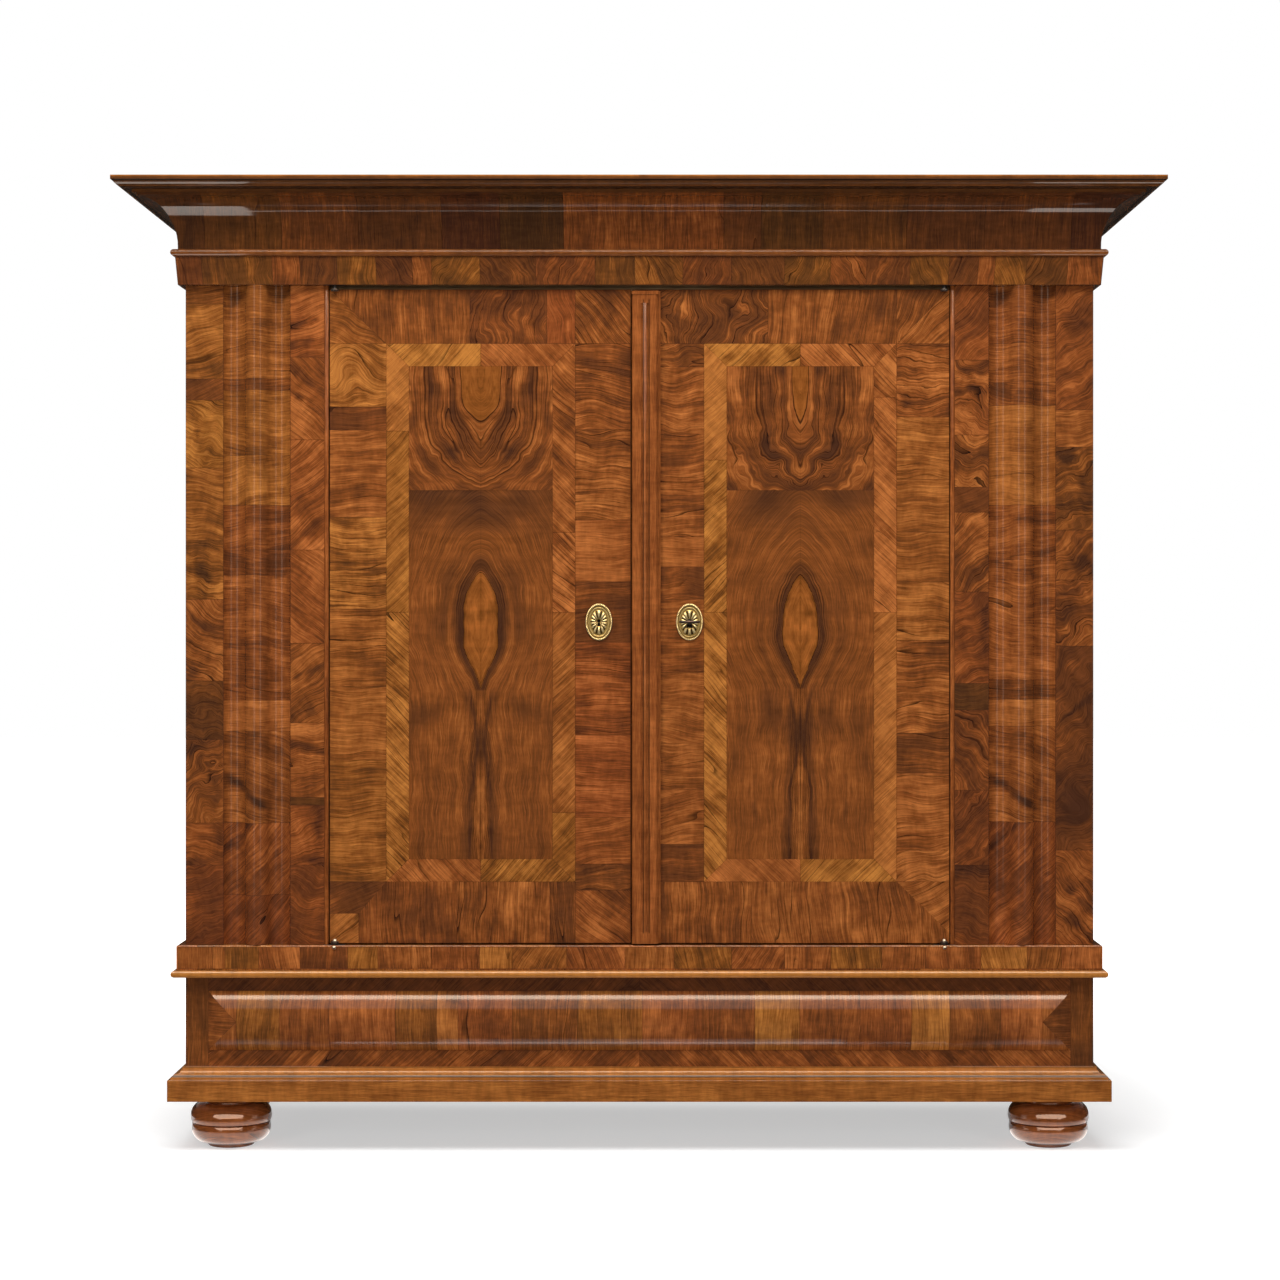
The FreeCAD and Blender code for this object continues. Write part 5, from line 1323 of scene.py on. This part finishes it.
pile(border, inner_east, east, [
    (feather_high, 1.519, -0.02, 0.4, 1.1, 0.014, 8, 0.004,
     ((0.552, 1.550, 0.014, 0.012, 0.7, 0),)),
    (1.519, 1.390, 0.12, 0.2, 0.8, 0.007, -3, 0, ()),
    (1.390, 1.281, 0.04, 0.2, 0.5, 0.006, 0, 0, ()),
    (1.281, 1.178, 0.00, 0.2, 0.4, 0.005, 3, 0, ()),
    (1.178, 1.057, 0.12, 0.2, 0.9, 0.009, -4, 0, ()),
    (1.057, 0.865, -0.02, 0.3, 0.9, 0.010, 4, 0, ()),
    (0.865, 0.782, -0.20, 0.3, 0.6, 0.006, 0, 0, ()),
    (0.782, 0.623, 0.06, 0.4, 0.5, 0.007, 4, 0, ()),
    (0.623, feather_low, 0.14, 0.3, 0.7, 0.012, 10, 0.003, ())])
border.lay([(east - 0.001, 0.453), (east, 0.452), (east, feather_low),
            (inner_east, feather_low)], plain_leaf(20, 49, 0.10, 0.3, 0.7, 0.010, 0.06))
foot_leaf = plain_leaf(96, 51, 0.0, 0.3, 0.7, 0.007, 0.08)
border.lay(four(0.232, inner_east, door_foot, feather_low), foot_leaf, 0)
border.lay([(inner_east, door_foot), (east, door_foot), (east, 0.452),
            (inner_east, feather_low)], foot_leaf, 0)
border.lay(four(west, 0.232, door_foot, feather_low),
           plain_leaf(88, 53, -0.06, 0.3, 0.7, 0.006, 0.08))
on_door(border.piece("border_right", veneer_walnut, False), "right")
on_door(feather_band("feather_band_right", inner_west, inner_east, feather_low, feather_high,
                     ((slope_change, 1.43), (slope_change, 1.56)), 50, 0.18), "right")
on_door(centre("centre_right", inner_west + feather, inner_east - feather,
               feather_low + feather, feather_high - feather,
               (57.0, 0.016, 1.0, 0.20), (59.0, 1.193, 1.100, 0.960, 0.26)), "right")

dress("door_left door_right", bare_upright, 0)


# Closing moulding on the right-hand door's edge: one long-grained reddish piece
# with a stopped reed in a sunk channel, that laps the left-hand door.
strike_walnut = new_material("strike_walnut")
strike_x, _, strike_z = parts_of(where(strike_walnut))
# Painted shade: dark lines either side of the reed, in the sunk channel, stopped short of the
# ends.
beside_reed = abs(abs(strike_x - 0.014) - 0.0060)
stopped = span(abs(strike_z - 1.1065), 0.652, 0.656, 1.0, 0.0)
painted_channel_shade = span(beside_reed, 0.0004, 0.0018, 0.75, 0.0, True) * stopped
polished(strike_walnut, xyz(strike_x + 3.0, strike_z, 4.0), (0.06, 0.6, 0.15), painted_channel_shade,
         density=60.0, contrast=0.8)
dress("strike_moulding", strike_walnut, 0.0012)


# Ironwork: forged and blackened straps, sockets, lock and slide bolts, with the
# pivot pins rubbed bright.
def iron_group():
    """Blackened iron: scale and rust bloom."""
    tree, given, result = effect("blackened iron", {"Place": None}, surface_gives)
    scale = clouds(given["Place"], 160, 4, 0.6)
    rust = clouds(given["Place"], 55, 3, 0.6)
    colour = blend(scale, (0.035, 0.031, 0.030, 1), (0.13, 0.115, 0.105, 1))
    colour = blend(span(rust, 0.52, 0.72, 0.0, 0.6), colour, (0.15, 0.065, 0.03, 1))
    send(result, Color=colour, Roughness=span(scale, 0.3, 0.7, 0.35, 0.6), Height=scale)
    return tree


forged_skin = iron_group()


def ironwork(name, metallic, depth, rubbed=0.0):
    """A finish of forged iron; rubbed is how bright it is worn."""
    material = new_material(name)
    skin = node_of(material.node_tree, "Group", node_tree=forged_skin)
    send(skin, Place=where(material))
    colour = blend(rubbed, out(skin, "Color"), (0.80, 0.72, 0.60, 1))
    return surface(material, colour, out(skin, "Roughness"), out(skin, "Height"), depth,
                   {"Metallic": metallic})


blackened_iron = ironwork("blackened_iron", 0.85, 0.0002)
rubbed_iron = ironwork("rubbed_iron", 1.0, 0.0001, 0.7)
dress("pivot_sockets hinge_straps_left hinge_straps_right lock_case lock_bolt bolt_keeper "
      "slide_bolt_guides slide_bolt_upper slide_bolt_lower", blackened_iron, 0.0003)
pin_head = [(0.0, 0.4344), (0.0042, 0.4344)]
pin_head += arc_points((0.0042, 0.4355), (0.0, 0.4395), -0.21, 10)
lug_curve = arc_points((0.0006, 0.4192), (0.0006, 0.4266), -0.49, 14)
lug = [(0.0, 0.4192), *lug_curve, (0.0, 0.4266)]
for side, x in (("left", -0.630), ("right", 0.630)):
    for name, profile, y, body in (("pivot_head_", pin_head, -0.2645, side + "_door"),
                                   ("pivot_lug_", lug, -0.2762, "carcass")):
        piece = turned(name + side, profile, (x, y), 40)
        wear(piece, rubbed_iron)
        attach(piece, body)


# Escutcheons and key: cast brass ovals pinned over the keyholes, with a milled rim,
# a sunk field and a fluted dish; the key is worn iron gone brown.
cast_brass = new_material("cast_brass")
place = where(cast_brass)
dull = clouds(place, 260, 3, 0.6)
worn = out(node_of(cast_brass.node_tree, "Attribute", attribute_name="crest"), "Fac")
worn = calc("ADD", worn, (dull - 0.5) * 0.5, clamp=True)
colour = blend(span(worn, 0.0, 0.5), (0.035, 0.020, 0.006, 1), (0.42, 0.27, 0.075, 1))
colour = blend(span(worn, 0.5, 1.0), colour, (1.0, 0.82, 0.44, 1))
surface(cast_brass, colour, span(worn, 0.2, 0.9, 0.45, 0.22), clouds(place, 900, 2, 0.6),
        0.0001, {"Metallic": 0.60})
dress("key", ironwork("brown_key_iron", 0.9, 0.0001), 0)


def keyhole_reach(angle, slot, foot):
    """Distance from the dish's middle to the keyhole's edge: a round head above a slot
    of half width slot that widens down to its foot."""
    head_z, head_radius, least, flare = 0.0022, 0.0036, 0.0014, 0.20
    cos, sin = math.cos(angle), math.sin(angle)
    best = least
    for step in range(1, 150):
        far = step * 0.0001
        x, z = far * cos, far * sin
        in_head = x * x + (z - head_z) ** 2 < head_radius ** 2
        in_slot = foot < z < head_z and abs(x) < slot + max(0.0, -z) * flare
        if in_head or in_slot:
            best = max(best, far)
    return best


def escutcheon(name, x, z, slot, foot):
    half_wide, half_tall, turns = 0.028, 0.0385, 252
    rows = [0.0, 0.04, 0.10, 0.17, 0.24, 0.31, 0.37, 0.42, 0.46, 0.49, 0.515, 0.54, 0.57, 0.62,
            0.67, 0.69, 0.71, 0.73, 0.75, 0.79, 0.83, 0.85, 0.87, 0.895, 0.92, 0.945, 0.97,
            0.99, 1.0]

    def form(r, angle):
        """Height above the face, and how bright the crest is rubbed."""
        if r < 0.55:
            lobe = abs(math.cos(angle * 7 + math.pi / 2))
            if 0.9 < angle < 2.24:
                lobe = abs(math.cos((angle - math.pi / 2) * 5.9))
            swell = math.sin(min(1.0, r / 0.53) * math.pi * 0.86)
            crest = max(swell ** 0.4 * (lobe ** 1.5 * 1.3 - 0.25), hump(r - 0.02, 0.03) * 0.5)
            return 0.0012 + 0.0036 * swell * (0.25 + 0.75 * lobe), crest
        if r < 0.84:
            line = hump(r - 0.71, 0.020)
            return 0.0014 + 0.0012 * line, 0.46 + 0.50 * line - 0.3 * hump(r - 0.84, 0.02)
        bead = abs(math.sin(angle * 30))
        round_top = math.sqrt(max(0.0, 1 - ((r - 0.92) / 0.08) ** 2))
        return 0.0010 + 0.0040 * round_top * (0.6 + 0.4 * bead), round_top * (
            0.45 + 0.65 * bead) - 0.05

    def at(r, angle, tall):
        """A place between the keyhole, at r = 0, and the oval's edge, at 1."""
        cos, sin = math.cos(angle), math.sin(angle)
        oval = 1 / math.hypot(cos / half_wide, sin / half_tall)
        hole = keyhole_reach(angle, slot, foot)
        far = hole + (oval - hole) * r
        return (x + far * cos, door_face - tall, z + far * sin)

    angles = [math.tau * k / turns for k in range(turns)]
    forms = [(r, angle, *form(r, angle)) for r in rows for angle in angles]
    forms += [(r, angle, 0.0, 0.2) for r in (1.0, 0.0) for angle in angles]
    points = [at(r, angle, tall) for r, angle, tall, crest in forms]
    rings = [row * turns for row in range(len(rows) + 2)] + [0]
    faces = [(a + k, a + (k + 1) % turns, b + (k + 1) % turns, b + k)
             for a, b in zip(rings, rings[1:]) for k in range(turns)]
    plate = mesh_from(name, points, faces)
    held = plate.data.attributes.new("crest", "FLOAT", "POINT")
    held.data.foreach_set("value", [crest for r, angle, tall, crest in forms])
    return plate


def keyhole_shade_sheet(name, x, z):
    """A thin near-black plate behind the keyhole: painted shade that stands for the dark inside of
    the lock.
    """
    half, low, high, front, back = 0.0078, -0.0132, 0.0070, -0.2596, -0.2594
    points = [(x + a, y, z + b) for y in (front, back) for a, b in four(-half, half, low, high)]
    faces = [(0, 1, 2, 3), (7, 6, 5, 4), (0, 4, 5, 1), (1, 5, 6, 2), (2, 6, 7, 3), (3, 7, 4, 0)]
    return mesh_from(name, points, faces, False)


# Painted shade: a matte near-black for the plate seen through the keyholes.
shade_black_finish = new_material("keyhole_dark")
shade_black_colour = blend(clouds(where(shade_black_finish), 700, 2), (0.004, 0.003, 0.002, 1),
                    (0.012, 0.009, 0.007, 1))
surface(shade_black_finish, shade_black_colour, 0.9, numbers={"Specular IOR Level": 0.0})
keyhole_height = 1.095
# The right keyhole is cut wider and longer, so that the black plate behind it also paints the
# shade under the key's bow.
for side, x, slot, foot in (("left", -0.084, 0.0018, -0.0090), ("right", 0.1035, 0.0040, -0.0122)):
    plate = escutcheon("brass_oval_" + side, x, keyhole_height, slot, foot)
    wear(plate, cast_brass)
    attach(plate, side + "_door")
    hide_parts("escutcheon_" + side)
    painted_dark_plate = keyhole_shade_sheet("keyhole_mouth_" + side, x, keyhole_height)
    wear(painted_dark_plate, shade_black_finish)
    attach(painted_dark_plate, side + "_door")


# Cornice: frieze, half-round bead, deep cove and crown, all but the bead veneered
# across their length, with softwood boards over them.
frieze_foot, frieze_tall, frieze_lean = 1.791, 0.0585, 0.005
frieze_face, frieze_half_foot, frieze_half_head = -0.2735, 0.953, 0.958
veneer_foot, veneer_head, veneer_half = 1.7912, 1.8492, 0.957


def on_frieze(a, b, lift):
    """Places on the frieze, whose face leans out 5 mm to its head."""
    lean = frieze_lean * (b - frieze_foot) / frieze_tall
    width = (frieze_half_foot + lean) / frieze_half_head
    return (a * width, frieze_face - lean - lift, b)


# The frieze leaves are set dark, partly as painted shade under the cornice's overhang.
frieze = Leaves(place=on_frieze)
side_by_side(frieze, [
    (-veneer_half, -0.26, 96, 0.001), (-0.905, -0.18, 90, 0), (-0.858, -0.34, 100, 0.003),
    (-0.760, -0.16, 88, 0), (-0.702, -0.30, 80, 0.004), (-0.625, -0.14, 92, 0),
    (-0.545, -0.32, 120, 0.005), (-0.470, -0.08, 96, 0.001), (-0.430, -0.24, 60, 0.004),
    (-0.330, -0.30, 122, 0.006), (-0.215, -0.20, 62, 0.005), (-0.092, -0.28, 90, 0.003),
    (-0.010, -0.18, 118, 0.004), (0.090, -0.28, 66, 0.006), (0.190, -0.34, 110, 0.007),
    (0.300, -0.24, 64, 0.006), (0.395, -0.18, 122, 0.005), (0.470, -0.30, 70, 0.006),
    (0.560, -0.16, 112, 0.004), (0.640, -0.12, 66, 0.002), (0.700, 0.00, 92, 0.001),
    (0.735, -0.12, 116, 0.002), (0.800, -0.24, 60, 0.004), (0.885, -0.18, 98, 0.003),
    (veneer_half, 0, 0, 0)], veneer_foot, veneer_head, 140.0, 0.7, 0.006, 0.25, size=0.05)
on_case(frieze, "frieze_facing")
# The frieze's ends are set dark to match, partly as painted shade.
dress("frieze_front frieze_left frieze_right",
      run_of_leaves("frieze_walnut", Leaves=10.0, Seed=31.0, Light=-0.28, Warm=0.15,
                    Vein=0.6, Variety=0.4), 0)
dress("cornice_bead", long_walnut("cornice_bead_walnut", (-0.04, 0.2, 0.1), contrast=0.6), 0)
# The cove is set darker still, partly as painted shade on a face that looks down.
dress("cove_front cove_left cove_right",
      run_of_leaves("cove_walnut", Leaves=7.0, Seed=41.0, Light=-0.37, Warm=0.3,
                    Vein=0.4, Variety=0.6), 0)
# The crown is set dark, partly as painted shade on its downward faces; its bands are painted
# highlights on the nose and a fillet, and its quirks painted shade in the grooves.
crown_walnut = moulded_walnut(
    "crown_walnut", -0.42,
    [(1.9795, 1.9800, 0.30), (1.9808, 1.9814, -0.30), (1.9962, 1.9976, 0.60)],
    [(1.9905, 0.0018, 0.80), (1.9782, 0.0014, 0.60)], contrast=0.7)
dress("cornice_crown", crown_walnut, 0)
dress("cornice_top cornice_back", bare_lengthwise, 0.0008)
